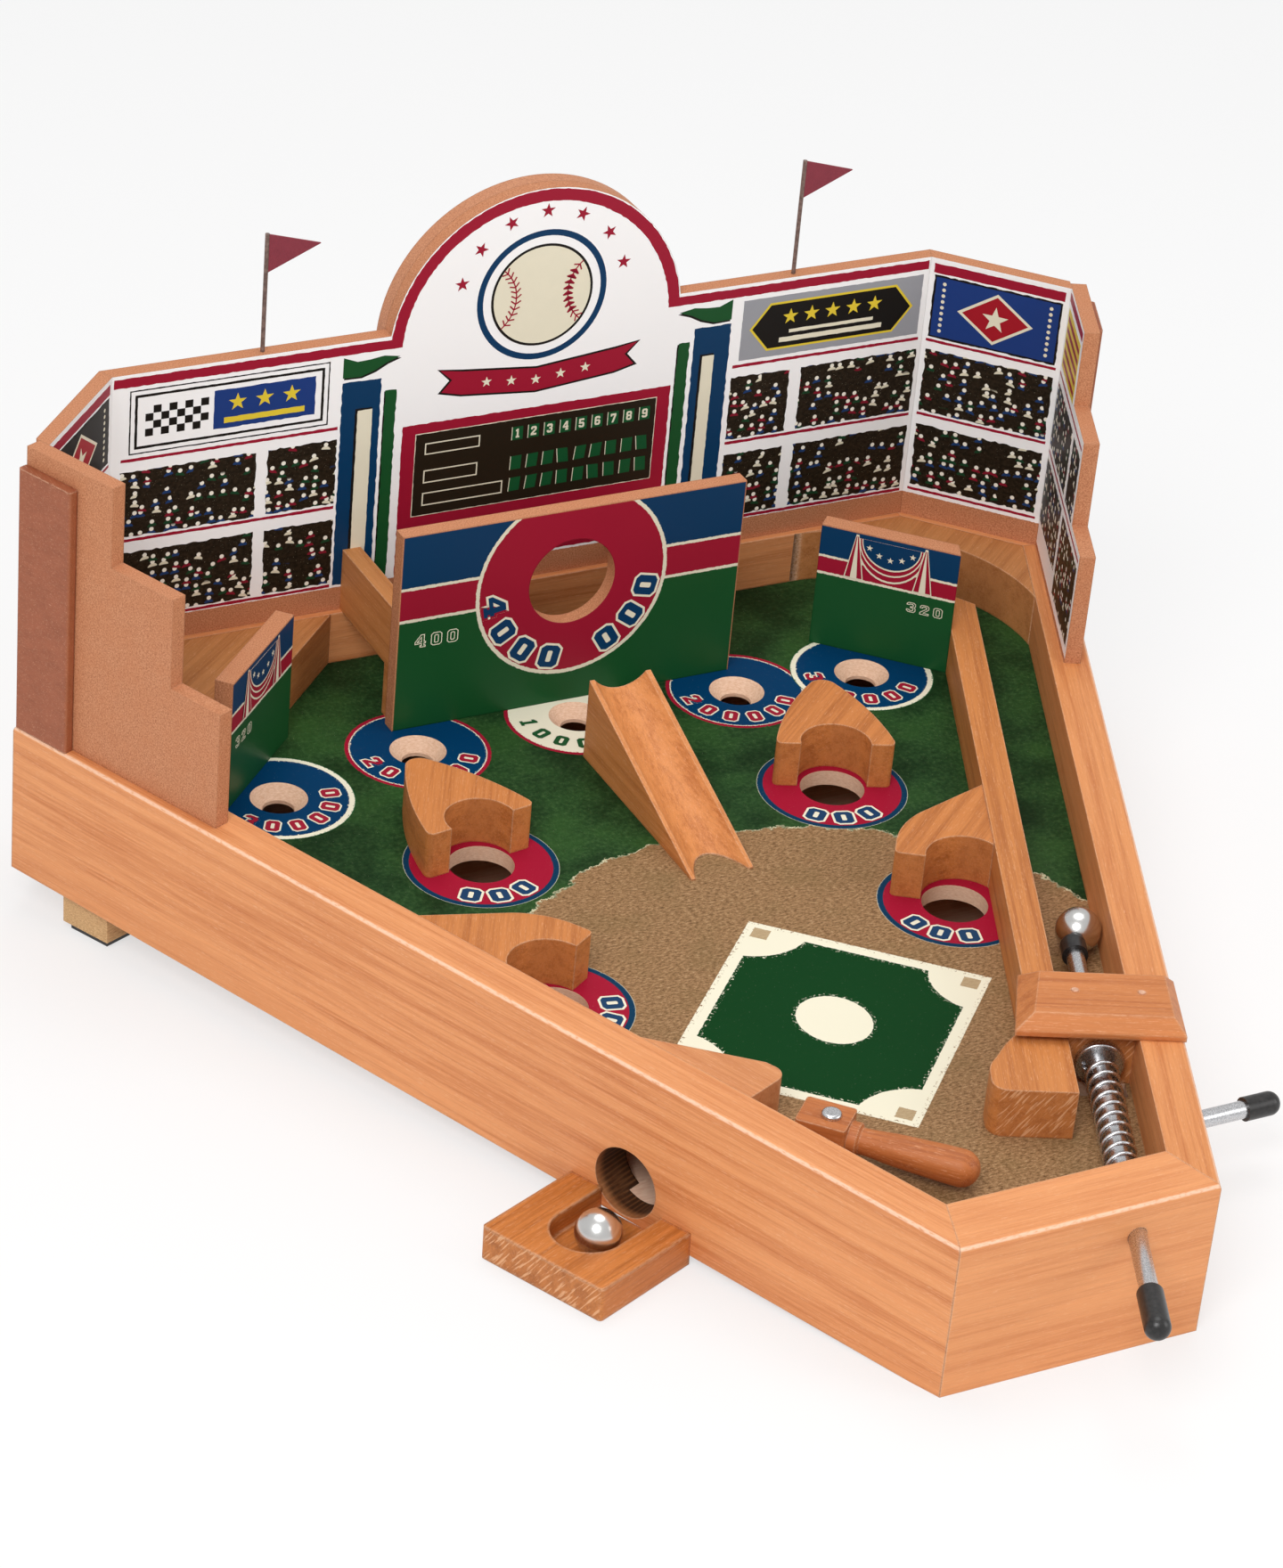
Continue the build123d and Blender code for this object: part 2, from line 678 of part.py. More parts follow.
def lane_divider():
    left = DIVIDER_LEFT_N
    right = DIVIDER_RIGHT_N
    front = GUIDE_FRONT_T
    ogee = [(108.0, left), (101.0, left - 1.6), (94.0, left - 6.2), (87.0, left - 10.8), (80.0, left - 14.4)]
    ogee.append((72.0, GUIDE_LEFT_N))
    path = [lane_pt(t, n) for t, n in ogee]
    side = Spline(*path, tangents=[(-SF, -CF), (-SF, -CF)])
    corner_a = lane_pt(front + GUIDE_ROUND + 1, GUIDE_LEFT_N)
    corner_b = lane_pt(front + 1.6, GUIDE_LEFT_N + 1.6)
    corner_c = lane_pt(front, GUIDE_LEFT_N + GUIDE_ROUND + 1)
    nose = ThreePointArc(corner_a, corner_b, corner_c)
    rear = [lane_pt(front, right), lane_pt(DIVIDER_REAR_RIGHT_T, right), lane_pt(DIVIDER_REAR_LEFT_T, left)]
    run = Polyline(corner_c, *rear, path[0])
    face = make_face(Curve() + [side, Line(path[-1], corner_a), nose, run])
    body = Pos(0, 0, DECK_Z) * extrude(face, amount=DIVIDER_TALL, dir=(0, 0, 1))
    return place(body)


def left_guide():
    t0 = LEFT_GUIDE_T
    n1 = LEFT_GUIDE_N
    pts = [left_pt(t0, 0), left_pt(t0, n1), left_pt(t0 + 9, n1 - 0.8), left_pt(LEFT_GUIDE_REAR_T, 0)]
    body = prism(pts, DECK_Z, DIVIDER_TOP)
    nose = Vector(*left_pt(t0, n1), 0)
    edge = body.edges().filter_by(Axis.Z).sort_by(lambda e: math.hypot(e.center().X - nose.X, e.center().Y - nose.Y))[0]
    return place(fillet(edge, GUIDE_ROUND))


def bridge_rect(inset, end_inset, z):
    """Outline of the bridge at a height; its left end is cut a little askew."""
    t0 = BRIDGE_T0 + inset
    t1 = BRIDGE_T1 - inset
    left = BRIDGE_END_N + end_inset
    right = RAIL_N + SIDE_THICK - inset
    pts = [lane_pt(t0, left), lane_pt(t1, left + BRIDGE_END_LEAN), lane_pt(t1, right), lane_pt(t0, right)]
    return Pos(0, 0, z) * make_face(Polyline(*pts, close=True))


def bridge_blank():
    low = extrude(bridge_rect(0, 0, 0), amount=BRIDGE_BAND, dir=(0, 0, 1))
    foot = bridge_rect(0, 0, BRIDGE_BAND)
    head = bridge_rect(BRIDGE_INSET, BRIDGE_END_INSET, BRIDGE_TALL)
    pad_t0 = BRIDGE_T0 + 1.4 * BRIDGE_INSET
    pad = [lane_pt(pad_t0, DIVIDER_LEFT_N), lane_pt(BRIDGE_T1, DIVIDER_LEFT_N)]
    pad += [lane_pt(BRIDGE_T1, DIVIDER_RIGHT_N), lane_pt(pad_t0, DIVIDER_RIGHT_N)]
    return low + loft([foot, head]) + prism(pad, DIVIDER_TOP, 0)


def nail_set():
    body = []
    for n in (NAIL_LEFT_N, NAIL_RIGHT_N):
        x, y = lane_pt(NAIL_T, n)
        body.append(Pos(x, y, BRIDGE_TALL - 0.4) * Cylinder(NAIL_D / 2, 1.2))
    return body


def bridge():
    return place(cut_all(bridge_blank(), nail_set()))


def bridge_nails():
    return Compound([place(nail).solid() for nail in nail_set()])


def plunger_block():
    n0 = DIVIDER_RIGHT_N
    pts = [lane_pt(BLOCK_T0, n0), lane_pt(BLOCK_T1, n0), lane_pt(BLOCK_T1, RAIL_N), lane_pt(BLOCK_T0, RAIL_N)]
    body = prism(pts, DECK_Z, 0)
    return place(body - lane_rod(BLOCK_T0 - 5, BLOCK_T1 + 5, 0, PLUNGER_Z, ROD_D + 2 * RUN_FIT))


def plunger_rod():
    return place(lane_rod(ROD_T0, ROD_T1, 0, PLUNGER_Z, ROD_D))


def plunger_tip():
    body = lane_rod(TIP_T0, TIP_T1, 0, PLUNGER_Z, TIP_D)
    body = fillet(body.edges().sort_by(Axis.Y)[-1], 2.2)
    return place(body - lane_rod(TIP_T0 - 1, ROD_T1, 0, PLUNGER_Z, ROD_D + 2 * SEAT_FIT))


def plunger_collar():
    body = lane_rod(COLLAR_T0, COLLAR_T1, 0, PLUNGER_Z, COLLAR_D)
    body = fillet(body.edges(), 0.8)
    return place(body - lane_rod(COLLAR_T0 - 1, COLLAR_T1 + 1, 0, PLUNGER_Z, ROD_D + 2 * SEAT_FIT))


def plunger_cap():
    body = lane_rod(CAP_T0, CAP_T1, 0, PLUNGER_Z, CAP_D)
    ends = body.edges().sort_by(Axis.Y)
    body = fillet(ends[0], CAP_D / 2 - 0.3)
    body = fillet(body.edges().sort_by(Axis.Y)[-1], 0.6)
    return place(body - lane_rod(ROD_T0, CAP_T1 + 1, 0, PLUNGER_Z, ROD_D + 2 * SEAT_FIT))


def plunger_spring():
    r = (SPRING_OD - SPRING_WIRE) / 2
    start = SEAT_T + SPRING_WIRE / 2 + BALL_GAP
    end = COLLAR_T0 - SPRING_WIRE / 2 - BALL_GAP
    tall = end - start
    path = Helix(pitch=tall / SPRING_COILS, height=tall, radius=r)
    spring_self_gap(r, tall)
    section = Plane(origin=path @ 0, z_dir=path % 0) * Circle(SPRING_WIRE / 2)
    coil = sweep(section, path=path)
    return place(lane_axis(start, 0, PLUNGER_Z).location * coil)


def spring_self_gap(r, tall):
    """Least distance between neighbouring turns, from points along the wire."""
    steps = 60
    total = int(SPRING_COILS * steps)
    pts = []
    for i in range(total + 1):
        a = 2 * math.pi * i / steps
        pts.append((r * math.cos(a), r * math.sin(a), tall * i / total))
    least = 1e9
    for i in range(0, total - steps // 2, 7):
        for j in range(i + steps // 2, min(total, i + 2 * steps) + 1):
            least = min(least, math.dist(pts[i], pts[j]))
    print("spring least gap", round(least - SPRING_WIRE, 3))


def lane_ball():
    n = RAIL_N - BALL_D / 2 - BALL_GAP
    x, y = lane_pt(BALL_LANE_T, n)
    return place(Pos(x, y, DECK_Z + BALL_D / 2 + BALL_GAP) * Sphere(BALL_D / 2))


def bat_frame():
    return Pos(BAT_X, BAT_Y, DECK_Z) * Rot(0, 0, BAT_REST)


def bat():
    tall = BAT_BLOCK_TALL - BAT_LIFT
    block = Pos(-BAT_BLOCK_BACK, 0, BAT_LIFT + tall / 2) * Box(BAT_BLOCK_LONG, BAT_BLOCK_WIDE, tall)
    block = fillet(block.edges().filter_by(Axis.Z), 1.2)
    x0 = BAT_BLOCK_LONG / 2 - BAT_BLOCK_BACK - 1.0
    tip_r = BAT_BARREL_D / 2
    x1 = BAT_REACH - tip_r
    knob_end = x0 + 4.2
    bottom = Polyline(
        (x0, 0),
        (x0, BAT_KNOB_D / 2),
        (knob_end, BAT_KNOB_D / 2),
        (knob_end + 0.8, BAT_NECK_D / 2),
    )
    barrel = Spline(
        (knob_end + 0.8, BAT_NECK_D / 2),
        (x0 + 14, BAT_NECK_D / 2 + 0.7),
        (x0 + 24, tip_r - 0.5),
        (x1, tip_r),
        tangents=[(1, 0), (1, 0)],
    )
    slant = tip_r * math.sin(math.radians(45))
    end = ThreePointArc((x1, tip_r), (x1 + slant, slant), (BAT_REACH, 0))
    back = Line((BAT_REACH, 0), (x0, 0))
    turned = revolve(make_face(Curve() + [bottom, barrel, end, back]), Axis.X)
    body = block + Pos(0, 0, BAT_AXIS_H) * turned
    bore = Cylinder(SPINDLE_D / 2 + SEAT_FIT, 80)
    return place(bat_frame() * (body - bore))


def bat_spindle():
    low = DECK_Z - DECK_THICK - CRANK_GAP - CRANK_THICK
    top = DECK_Z + BAT_BLOCK_TALL
    shaft = Pos(BAT_X, BAT_Y, (low + top) / 2) * Cylinder(SPINDLE_D / 2, top - low)
    head = Pos(BAT_X, BAT_Y, top + SCREW_HEAD_TALL / 2) * Cylinder(SCREW_HEAD_D / 2, SCREW_HEAD_TALL)
    head = fillet(head.edges().sort_by(Axis.Z)[-1], 1.1)
    return place(shaft + head)


def bat_crank():
    """Arm under the deck, drawn for the bat at rest; its slot rides on the lever pin."""
    z0 = DECK_Z - DECK_THICK - CRANK_GAP - CRANK_THICK
    drop = BAT_Y - LEVER_Y
    half = BAT_SWING / 2
    hub = Cylinder(CRANK_HUB_D / 2, CRANK_THICK)
    arm = Pos(CRANK_REACH / 2, 0, 0) * Box(CRANK_REACH, CRANK_ARM_WIDE, CRANK_THICK)
    slot_in = drop - PIN_D / 2 - 0.4
    slot_out = drop / math.cos(math.radians(half)) + PIN_D / 2 + 0.4
    slot_wide = PIN_D + 0.7
    slot = Pos((slot_in + slot_out) / 2, 0, 0) * Box(slot_out - slot_in, slot_wide, 4 * CRANK_THICK)
    body = hub + arm - slot - Cylinder(SPINDLE_D / 2 + SEAT_FIT, 4 * CRANK_THICK)
    body = Pos(BAT_X, BAT_Y, z0 + CRANK_THICK / 2) * Rot(0, 0, -90 - half) * body
    return place(body)


def lever_rod():
    """Rod below the deck along X with the upright pin that turns the crank, at rest."""
    mid = (LEVER_X0 + LEVER_X1) / 2
    rod = Pos(mid, LEVER_Y, LEVER_Z) * Rot(0, 90, 0) * Cylinder(ROD_D / 2, LEVER_X1 - LEVER_X0)
    drop = BAT_Y - LEVER_Y
    pin_x = BAT_X - drop * math.tan(math.radians(BAT_SWING / 2))
    pin_top = DECK_Z - DECK_THICK - CRANK_GAP
    pin = Pos(pin_x, LEVER_Y, (pin_top + LEVER_Z) / 2) * Cylinder(PIN_D / 2, pin_top - LEVER_Z)
    return place(rod + pin)


def lever_cap():
    tall = LEVER_CAP_X1 - LEVER_CAP_X0
    body = Cylinder(LEVER_CAP_D / 2, tall)
    body = fillet(body.edges().sort_by(Axis.Z)[-1], LEVER_CAP_D / 2 - 0.3)
    body = Pos((LEVER_CAP_X0 + LEVER_CAP_X1) / 2, LEVER_Y, LEVER_Z) * Rot(0, 90, 0) * body
    bore_long = LEVER_X1 - LEVER_CAP_X0 + 2
    bore = Pos(LEVER_X1 - bore_long / 2, LEVER_Y, LEVER_Z) * Rot(0, 90, 0) * Cylinder(ROD_D / 2 + SEAT_FIT, bore_long)
    return place(body - bore)


def lever_block():
    mid = (LEVER_BLOCK_X0 + LEVER_BLOCK_X1) / 2
    top = DECK_Z - DECK_THICK
    low = LEVER_Z - ROD_D / 2 - 4
    body = Pos(mid, LEVER_Y, (top + low) / 2) * Box(LEVER_BLOCK_X1 - LEVER_BLOCK_X0, 18, top - low)
    bore = Pos(mid, LEVER_Y, LEVER_Z) * Rot(0, 90, 0) * Cylinder(ROD_D / 2 + RUN_FIT, 60)
    return place(body - bore)


def tray_pt(s, out):
    return side_pt(s, -out, -1)


def table_pt(p, level):
    """Where a box point of that x, y stands over the table, for a given box level."""
    v = Vector(p[0], p[1], level + RAIL_HEIGHT)
    y = v.Y * math.cos(math.radians(RAKE)) - v.Z * math.sin(math.radians(RAKE))
    return (v.X, y - REST_MID_Y)


def ball_tray():
    low_z = -RAIL_HEIGHT
    corners = [tray_pt(TRAY_S0, -4), tray_pt(TRAY_S1, -4), tray_pt(TRAY_S1, TRAY_OUT), tray_pt(TRAY_S0, TRAY_OUT)]
    body = prism([table_pt(p, low_z) for p in corners], TRAY_UNDER, TRAY_TOP)
    outer = [p for p in body.edges().filter_by(Axis.Z) if p.center().X < table_pt(tray_pt(TRAY_S0, 20), low_z)[0]]
    body = fillet(ShapeList(outer), 1.5)
    eye = table_pt(tray_pt(TRAY_POCKET_S, TRAY_POCKET_OUT), low_z)
    pocket = Pos(eye[0], eye[1], TRAY_FLOOR + 20) * Cylinder(TRAY_POCKET_R, 40)
    mouth = [tray_pt(TRAY_POCKET_S - TRAY_POCKET_R, -9), tray_pt(TRAY_POCKET_S + TRAY_POCKET_R, -9)]
    mouth += [tray_pt(TRAY_POCKET_S + TRAY_POCKET_R, TRAY_POCKET_OUT), tray_pt(TRAY_POCKET_S - TRAY_POCKET_R, TRAY_POCKET_OUT)]
    body = body - pocket - prism([table_pt(p, low_z) for p in mouth], TRAY_FLOOR, 40)
    keep_out = [side_pt(40, 0, -1), side_pt(240, 0, -1), side_pt(240, 60, -1), side_pt(40, 60, -1)]
    return body - place(prism(keep_out, -90, 40))


def tray_ball():
    eye = table_pt(tray_pt(TRAY_BALL_S, TRAY_BALL_OUT), -RAIL_HEIGHT)
    return Pos(eye[0], eye[1], TRAY_FLOOR + BALL_GAP + BALL_D / 2) * Sphere(BALL_D / 2)


def foot_prism(sgn, inset, z0, z1):
    pts = [
        side_pt(FOOT_S0 + inset, FOOT_IN + inset, sgn),
        side_pt(FOOT_S1 - inset, FOOT_IN + inset, sgn),
        side_pt(FOOT_S1 - inset, FOOT_IN + FOOT_DEEP - inset, sgn),
        side_pt(FOOT_S0 + inset, FOOT_IN + FOOT_DEEP - inset, sgn),
    ]
    return prism([table_pt(p, -RAIL_HEIGHT) for p in pts], z0, z1)


def rear_foot(sgn):
    body = foot_prism(sgn, 0, PAD_THICK, 40)
    return body - place(Pos(0, 200, 50 - RAIL_HEIGHT) * Box(900, 900, 100))


def rubber_pad(sgn):
    return foot_prism(sgn, PAD_INSET, 0, PAD_THICK)


PARTS = {
    "front_rail": front_rail(),
    "left_rail": left_rail(),
    "right_rail": right_rail(),
    "back_rail": back_rail(),
    "corner_rail_left": corner_rail(-1),
    "corner_rail_right": corner_rail(1),
    "playfield": playfield(),
    "base_panel": base_panel(),
    "return_deflector": return_deflector(),
    "ball_tray": ball_tray(),
    "main_board": main_board(),
    "arch_backing": arch_backing(),
    "angled_panel_left": angled_panel(-1),
    "angled_panel_right": angled_panel(1),
    "wing_left": wing(-1),
    "wing_right": wing(1),
    "batten_left": batten(-1),
    "batten_right": batten(1),
    "flag_pole_left": flag_pole(-1),
    "flag_pole_right": flag_pole(1),
    "pennant_left": pennant(-1),
    "pennant_right": pennant(1),
    "home_run_board": home_run_board(),
    "bracket_left": bracket(-1),
    "bracket_right": bracket(1),
    "bunting_board_left": bunting_board(-1),
    "bunting_board_right": bunting_board(1),
    "left_filler": left_filler(),
    "right_filler": right_filler(),
    "ramp": ramp(),
    "bumper_upper_left": bumper(OUT_UPPER_LEFT, TURN_UPPER_LEFT),
    "bumper_upper_right": bumper(OUT_UPPER_RIGHT, TURN_UPPER_RIGHT),
    "bumper_lower_left": side_bumper(lower_hole_left(), -1),
    "bumper_lower_right": side_bumper(lower_hole_right(), 1),
    "lane_divider": lane_divider(),
    "left_guide": left_guide(),
    "bridge": bridge(),
    "bridge_nails": bridge_nails(),
    "plunger_block": plunger_block(),
    "plunger_rod": plunger_rod(),
    "plunger_tip": plunger_tip(),
    "plunger_collar": plunger_collar(),
    "plunger_cap": plunger_cap(),
    "plunger_spring": plunger_spring(),
    "bat": bat(),
    "bat_spindle": bat_spindle(),
    "bat_crank": bat_crank(),
    "lever_rod": lever_rod(),
    "lever_cap": lever_cap(),
    "lever_block": lever_block(),
    "lane_ball": lane_ball(),
    "tray_ball": tray_ball(),
    "rear_foot_left": rear_foot(-1),
    "rear_foot_right": rear_foot(1),
    "rubber_pad_left": rubber_pad(-1),
    "rubber_pad_right": rubber_pad(1),
}

for name, shape in PARTS.items():
    export_step(shape, os.path.join("parts", name + ".step"))
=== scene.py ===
import bpy
import math
import random
from mathutils import Matrix, Vector


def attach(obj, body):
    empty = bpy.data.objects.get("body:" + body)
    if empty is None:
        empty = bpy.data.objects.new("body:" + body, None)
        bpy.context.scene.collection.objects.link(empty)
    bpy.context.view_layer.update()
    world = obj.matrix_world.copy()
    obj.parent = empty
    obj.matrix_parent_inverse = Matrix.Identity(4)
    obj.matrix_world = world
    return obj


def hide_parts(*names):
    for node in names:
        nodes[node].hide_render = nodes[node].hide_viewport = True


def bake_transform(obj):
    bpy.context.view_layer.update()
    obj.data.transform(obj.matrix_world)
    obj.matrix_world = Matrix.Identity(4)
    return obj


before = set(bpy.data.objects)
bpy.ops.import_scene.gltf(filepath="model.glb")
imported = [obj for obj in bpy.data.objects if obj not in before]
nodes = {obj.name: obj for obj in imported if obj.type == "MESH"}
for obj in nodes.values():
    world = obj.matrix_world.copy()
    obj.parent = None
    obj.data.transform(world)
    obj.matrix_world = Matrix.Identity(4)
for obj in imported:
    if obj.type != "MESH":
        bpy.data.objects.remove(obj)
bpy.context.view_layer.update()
bpy.ops.object.select_all(action="DESELECT")
bpy.context.scene.view_settings.view_transform = "Standard"

# The game was drawn in millimetres with its rail tops level, then tipped by the rake.
RAKE = math.radians(2.6)
BOX_TO_TABLE = (
    Matrix.Scale(0.001, 4)
    @ Matrix.Translation((0, -5.5, -0.5))
    @ Matrix.Rotation(RAKE, 4, "X")
    @ Matrix.Translation((0, 0, 58.6))
)
LEVEL_SHIFT = BOX_TO_TABLE.inverted().translation
# The side rails fan out by FAN degrees, and the slanting boards and corner rails turn by BEND.
FAN, BEND = 23.65, 46.5
SF, CF = math.sin(math.radians(FAN)), math.cos(math.radians(FAN))
SB, CB = math.sin(math.radians(BEND)), math.cos(math.radians(BEND))
DECK_Z = -21.0
# The exit bore in the left rail: its radius, and how far out that rail's outer face lies, for the painted
# shade on its walls.
EXIT_R = 12.72
LEFT_FACE = 43.5
# Vertices of one mesh that lie closer than this, in metres, are one.
MERGE = 1e-7


def paint(red, green, blue):
    """A colour as it is seen on screen, from 0 to 255."""
    parts = [c / 255 for c in (red, green, blue)]
    return tuple(c / 12.92 if c < 0.04045 else ((c + 0.055) / 1.055) ** 2.4 for c in parts) + (1.0,)


def darker(colour, share):
    return tuple(c * share for c in colour[:3]) + (1,)


CREAM = paint(238, 232, 208)
CRIMSON = paint(160, 22, 50)
NAVY = paint(2, 57, 97)
BLUE = paint(28, 60, 128)
GREEN = paint(23, 82, 41)
STADIUM_BLACK = paint(38, 30, 20)
YELLOW = paint(232, 205, 60)
GREY = paint(158, 160, 166)
WHITE = paint(254, 254, 254)
TILE_GREEN = paint(18, 84, 46)
# Paler fibre for the painted highlight on board edges.
FIBRE_EDGE_HIGHLIGHT = paint(232, 172, 132)


class Tone:
    """A shader value. Arithmetic on it adds Math nodes."""

    def __init__(self, finish, socket):
        self.finish = finish
        self.socket = socket

    def do(self, operation, *others):
        values = dict(enumerate((self,) + others))
        return self.finish.node("Math", {"operation": operation}, values)

    def __add__(self, other):
        return self.do("ADD", other)

    def __sub__(self, other):
        return self.do("SUBTRACT", other)

    def __rsub__(self, other):
        return self.finish.node("Math", {"operation": "SUBTRACT"}, {0: other, 1: self})

    def __mul__(self, other):
        return self.do("MULTIPLY", other)

    def __truediv__(self, other):
        return self.do("DIVIDE", other)

    def __abs__(self):
        return self.do("ABSOLUTE")

    __radd__ = __add__
    __rmul__ = __mul__

    def rise(self, start, end):
        """0 up to start, 1 past end, smooth between them."""
        settings = {"interpolation_type": "SMOOTHSTEP"}
        return self.finish.node("MapRange", settings, {"Value": self, 1: start, 2: end})

    def under(self, edge, soft=0.12):
        return 1 - self.rise(edge - soft, edge + soft)


class Finish:
    """The material of one kind of surface, built node by node."""

    def __init__(self, name):
        self.material = bpy.data.materials.new(name)
        self.material.use_nodes = True
        self.tree = self.material.node_tree
        self.tree.nodes.clear()
        self.shader = self.tree.nodes.new("ShaderNodeBsdfPrincipled")
        end = self.tree.nodes.new("ShaderNodeOutputMaterial")
        self.tree.links.new(self.shader.outputs[0], end.inputs[0])

    def node(self, kind, settings=None, values=None, out=0):
        made = self.tree.nodes.new("ShaderNode" + kind)
        for key, value in (settings or {}).items():
            if key == "stops":
                for place, colour in value[1:-1]:
                    made.color_ramp.elements.new(place)
                for element, (place, colour) in zip(made.color_ramp.elements, value):
                    element.position = place
                    element.color = colour
            else:
                setattr(made, key, value)
        for key, value in (values or {}).items():
            self.feed(made.inputs[key], value)
        return Tone(self, made.outputs[out])

    def feed(self, socket, value):
        if isinstance(value, Tone):
            self.tree.links.new(value.socket, socket)
        else:
            socket.default_value = value

    def dress(self, **values):
        """Sets the surface shader's own sockets."""
        for key, value in values.items():
            self.feed(self.shader.inputs[key.replace("_", " ")], value)
        return self.material

    def box_mm(self, heading=0.0, shift=(0, 0, 0)):
        """Millimetres in the level box, turned so that X runs along the heading."""
        table = self.node("TexCoord", out="Object")
        tilt = {"Vector": table, "Location": LEVEL_SHIFT, "Rotation": (-RAKE, 0, 0), "Scale": (1000,) * 3}
        level = self.node("Mapping", None, tilt)
        if heading or any(shift):
            turn = {"Vector": level, "Location": shift, "Rotation": (0, 0, -math.radians(heading))}
            level = self.node("Mapping", None, turn)
        return level

    def split(self, vector):
        parts = self.node("SeparateXYZ", None, {0: vector}).socket.node
        return [Tone(self, output) for output in parts.outputs]

    def join(self, x, y, z=0.0):
        return self.node("CombineXYZ", None, {0: x, 1: y, 2: z})

    def vector(self, operation, first, second, out="Value"):
        return self.node("VectorMath", {"operation": operation}, {0: first, 1: second}, out)

    def noise(self, vector, scale=1.0, detail=2.0, roughness=0.5):
        values = {"Vector": vector, "Scale": scale, "Detail": detail, "Roughness": roughness}
        return self.node("TexNoise", None, values)

    def blend(self, amount, below, above):
        return self.node("Mix", {"data_type": "RGBA"}, {0: amount, 6: below, 7: above}, out=2)

    def ramp(self, value, *stops):
        return self.node("ValToRGB", {"stops": stops}, {0: value})

    def facing(self, direction):
        """How squarely the surface looks in a direction, 1 when it does."""
        return self.vector("DOT_PRODUCT", self.node("NewGeometry", out="Normal"), direction)

    def edges(self, radius):
        """Normals rounded over at the edges, and a mask of where they are."""
        rounded = self.node("Bevel", {"samples": 4}, {"Radius": radius})
        flat = self.node("NewGeometry", out="Normal")
        return rounded, (1 - self.vector("DOT_PRODUCT", rounded, flat)).rise(0.01, 0.22)

    def bump(self, height, strength, distance, normal=None):
        values = {"Height": height, "Strength": strength, "Distance": distance}
        if normal is not None:
            values["Normal"] = normal
        return self.node("Bump", None, values)


def oiled_wood(
    name, heading, pith, spacing, seed, late, light, dark, rubbed=0, cut=0, soft=0.0009, bore=None
):
    """Softwood under amber oil: long fibres, with faint rings round a pith beside the board.

    late is how strongly the rings show, rubbed how pale the rails' front rims are, as wear and painted
    highlight, cut how much the saw shows on the ends, soft the radius of the edges in metres, and bore a
    hole's place along and up, where painted shade darkens the walls.
    """
    wood = Finish(name)
    slide = seed * 61.0
    along, across, up = wood.split(wood.box_mm(heading, (slide, 0, 0)))
    sway = wood.noise(wood.join(along * 0.007 + seed, across * 0.02, up * 0.02), detail=2) - 0.5
    aside = across - pith[0] + sway * 11
    rise = up - pith[1] + sway * 9
    reach = (aside * aside + rise * rise).do("SQRT")
    waver = wood.noise(wood.join(along * 0.02, across * 0.3, up * 0.3), detail=3)
    ring = (reach / spacing + waver * 0.8).do("FRACT")
    latewood = ring.rise(0.2, 0.85) * ring.under(0.93, 0.07)
    fibre = wood.noise(wood.join(along * 0.03, across * 1.1, up * 1.1), detail=5, roughness=0.7)
    streak = wood.noise(wood.join(along * 0.008, across * 0.24 + seed, up * 0.24), detail=3, roughness=0.6)
    pore = wood.noise(wood.join(along * 0.14, across * 5, up * 5), detail=2)
    grain = wood.noise(wood.join(along * 0.5, across * 1.7, up * 1.7), detail=2)
    pale, deep = paint(*light), paint(*dark)
    tone = wood.ramp(fibre * 0.5 + streak * 0.55, (0.36, deep), (0.56, darker(pale, 0.93)), (0.7, pale))
    tone = wood.blend(latewood * late, tone, deep)
    tone = wood.blend(pore.rise(0.56, 0.72) * 0.14, tone, paint(162, 92, 42))
    tone = wood.blend(pore.under(0.4, 0.06) * grain.rise(0.45, 0.6) * 0.3, tone, paint(246, 196, 158))
    rounded, edge_highlight = wood.edges(soft)
    # Painted highlight: the rounded edges are made paler, broken up along the grain.
    tone = wood.blend(edge_highlight * grain.rise(0.2, 0.6) * 0.7, tone, paint(250, 206, 170))
    # Wear and painted highlight: the rims that turn partly up, near the top, are made paler.
    lean = wood.facing((0, 0, 1))
    corner = lean.rise(0.25, 0.55) * lean.under(0.86, 0.08) * up.rise(-3.2, -2.2)
    tone = wood.blend(corner * grain.rise(0.15, 0.55) * rubbed, tone, paint(255, 222, 196))
    angle = math.radians(heading)
    end = abs(wood.facing((math.cos(angle), math.sin(angle), 0))).rise(0.8, 0.95)
    tone = wood.blend(end * 0.28, tone, paint(168, 104, 62))
    stroke = wood.noise(wood.join(up * 0.1 - across * 0.07, across * 1.0 + up * 0.7), detail=3)
    tone = wood.blend(end * stroke.rise(0.53, 0.62) * cut, tone, paint(250, 200, 154))
    # Painted shade: the walls of the exit bore are darkened, more so deeper into the rail.
    if bore:
        beside, over = along - slide - bore[0], up - bore[1]
        inside = (beside * beside + over * over).do("SQRT").under(EXIT_R, 0.05)
        bore_shade_depth = (LEFT_FACE - across).rise(0.4, 5.0)
        tone = wood.blend(inside * (0.4 + bore_shade_depth * 0.55), tone, paint(38, 18, 9))
    normal = wood.bump(fibre * 0.7 + latewood * 0.3, 0.3, 0.0001, rounded)
    return wood.dress(Base_Color=tone, Roughness=0.42 + fibre * 0.16, Normal=normal, Specular_IOR_Level=0.35)


def fibreboard_tone(board, position):
    """Pressed fibre: a tan ground with fine lighter and darker flecks."""
    fine = board.noise(position, scale=1.9, detail=3, roughness=0.7)
    coarse = board.noise(position, scale=0.12, detail=2)
    flecks = (0.3, paint(158, 97, 65)), (0.5, paint(193, 130, 93)), (0.72, paint(216, 156, 117))
    return board.blend(coarse.rise(0.35, 0.7) * 0.25, board.ramp(fine, *flecks), paint(192, 122, 82)), fine


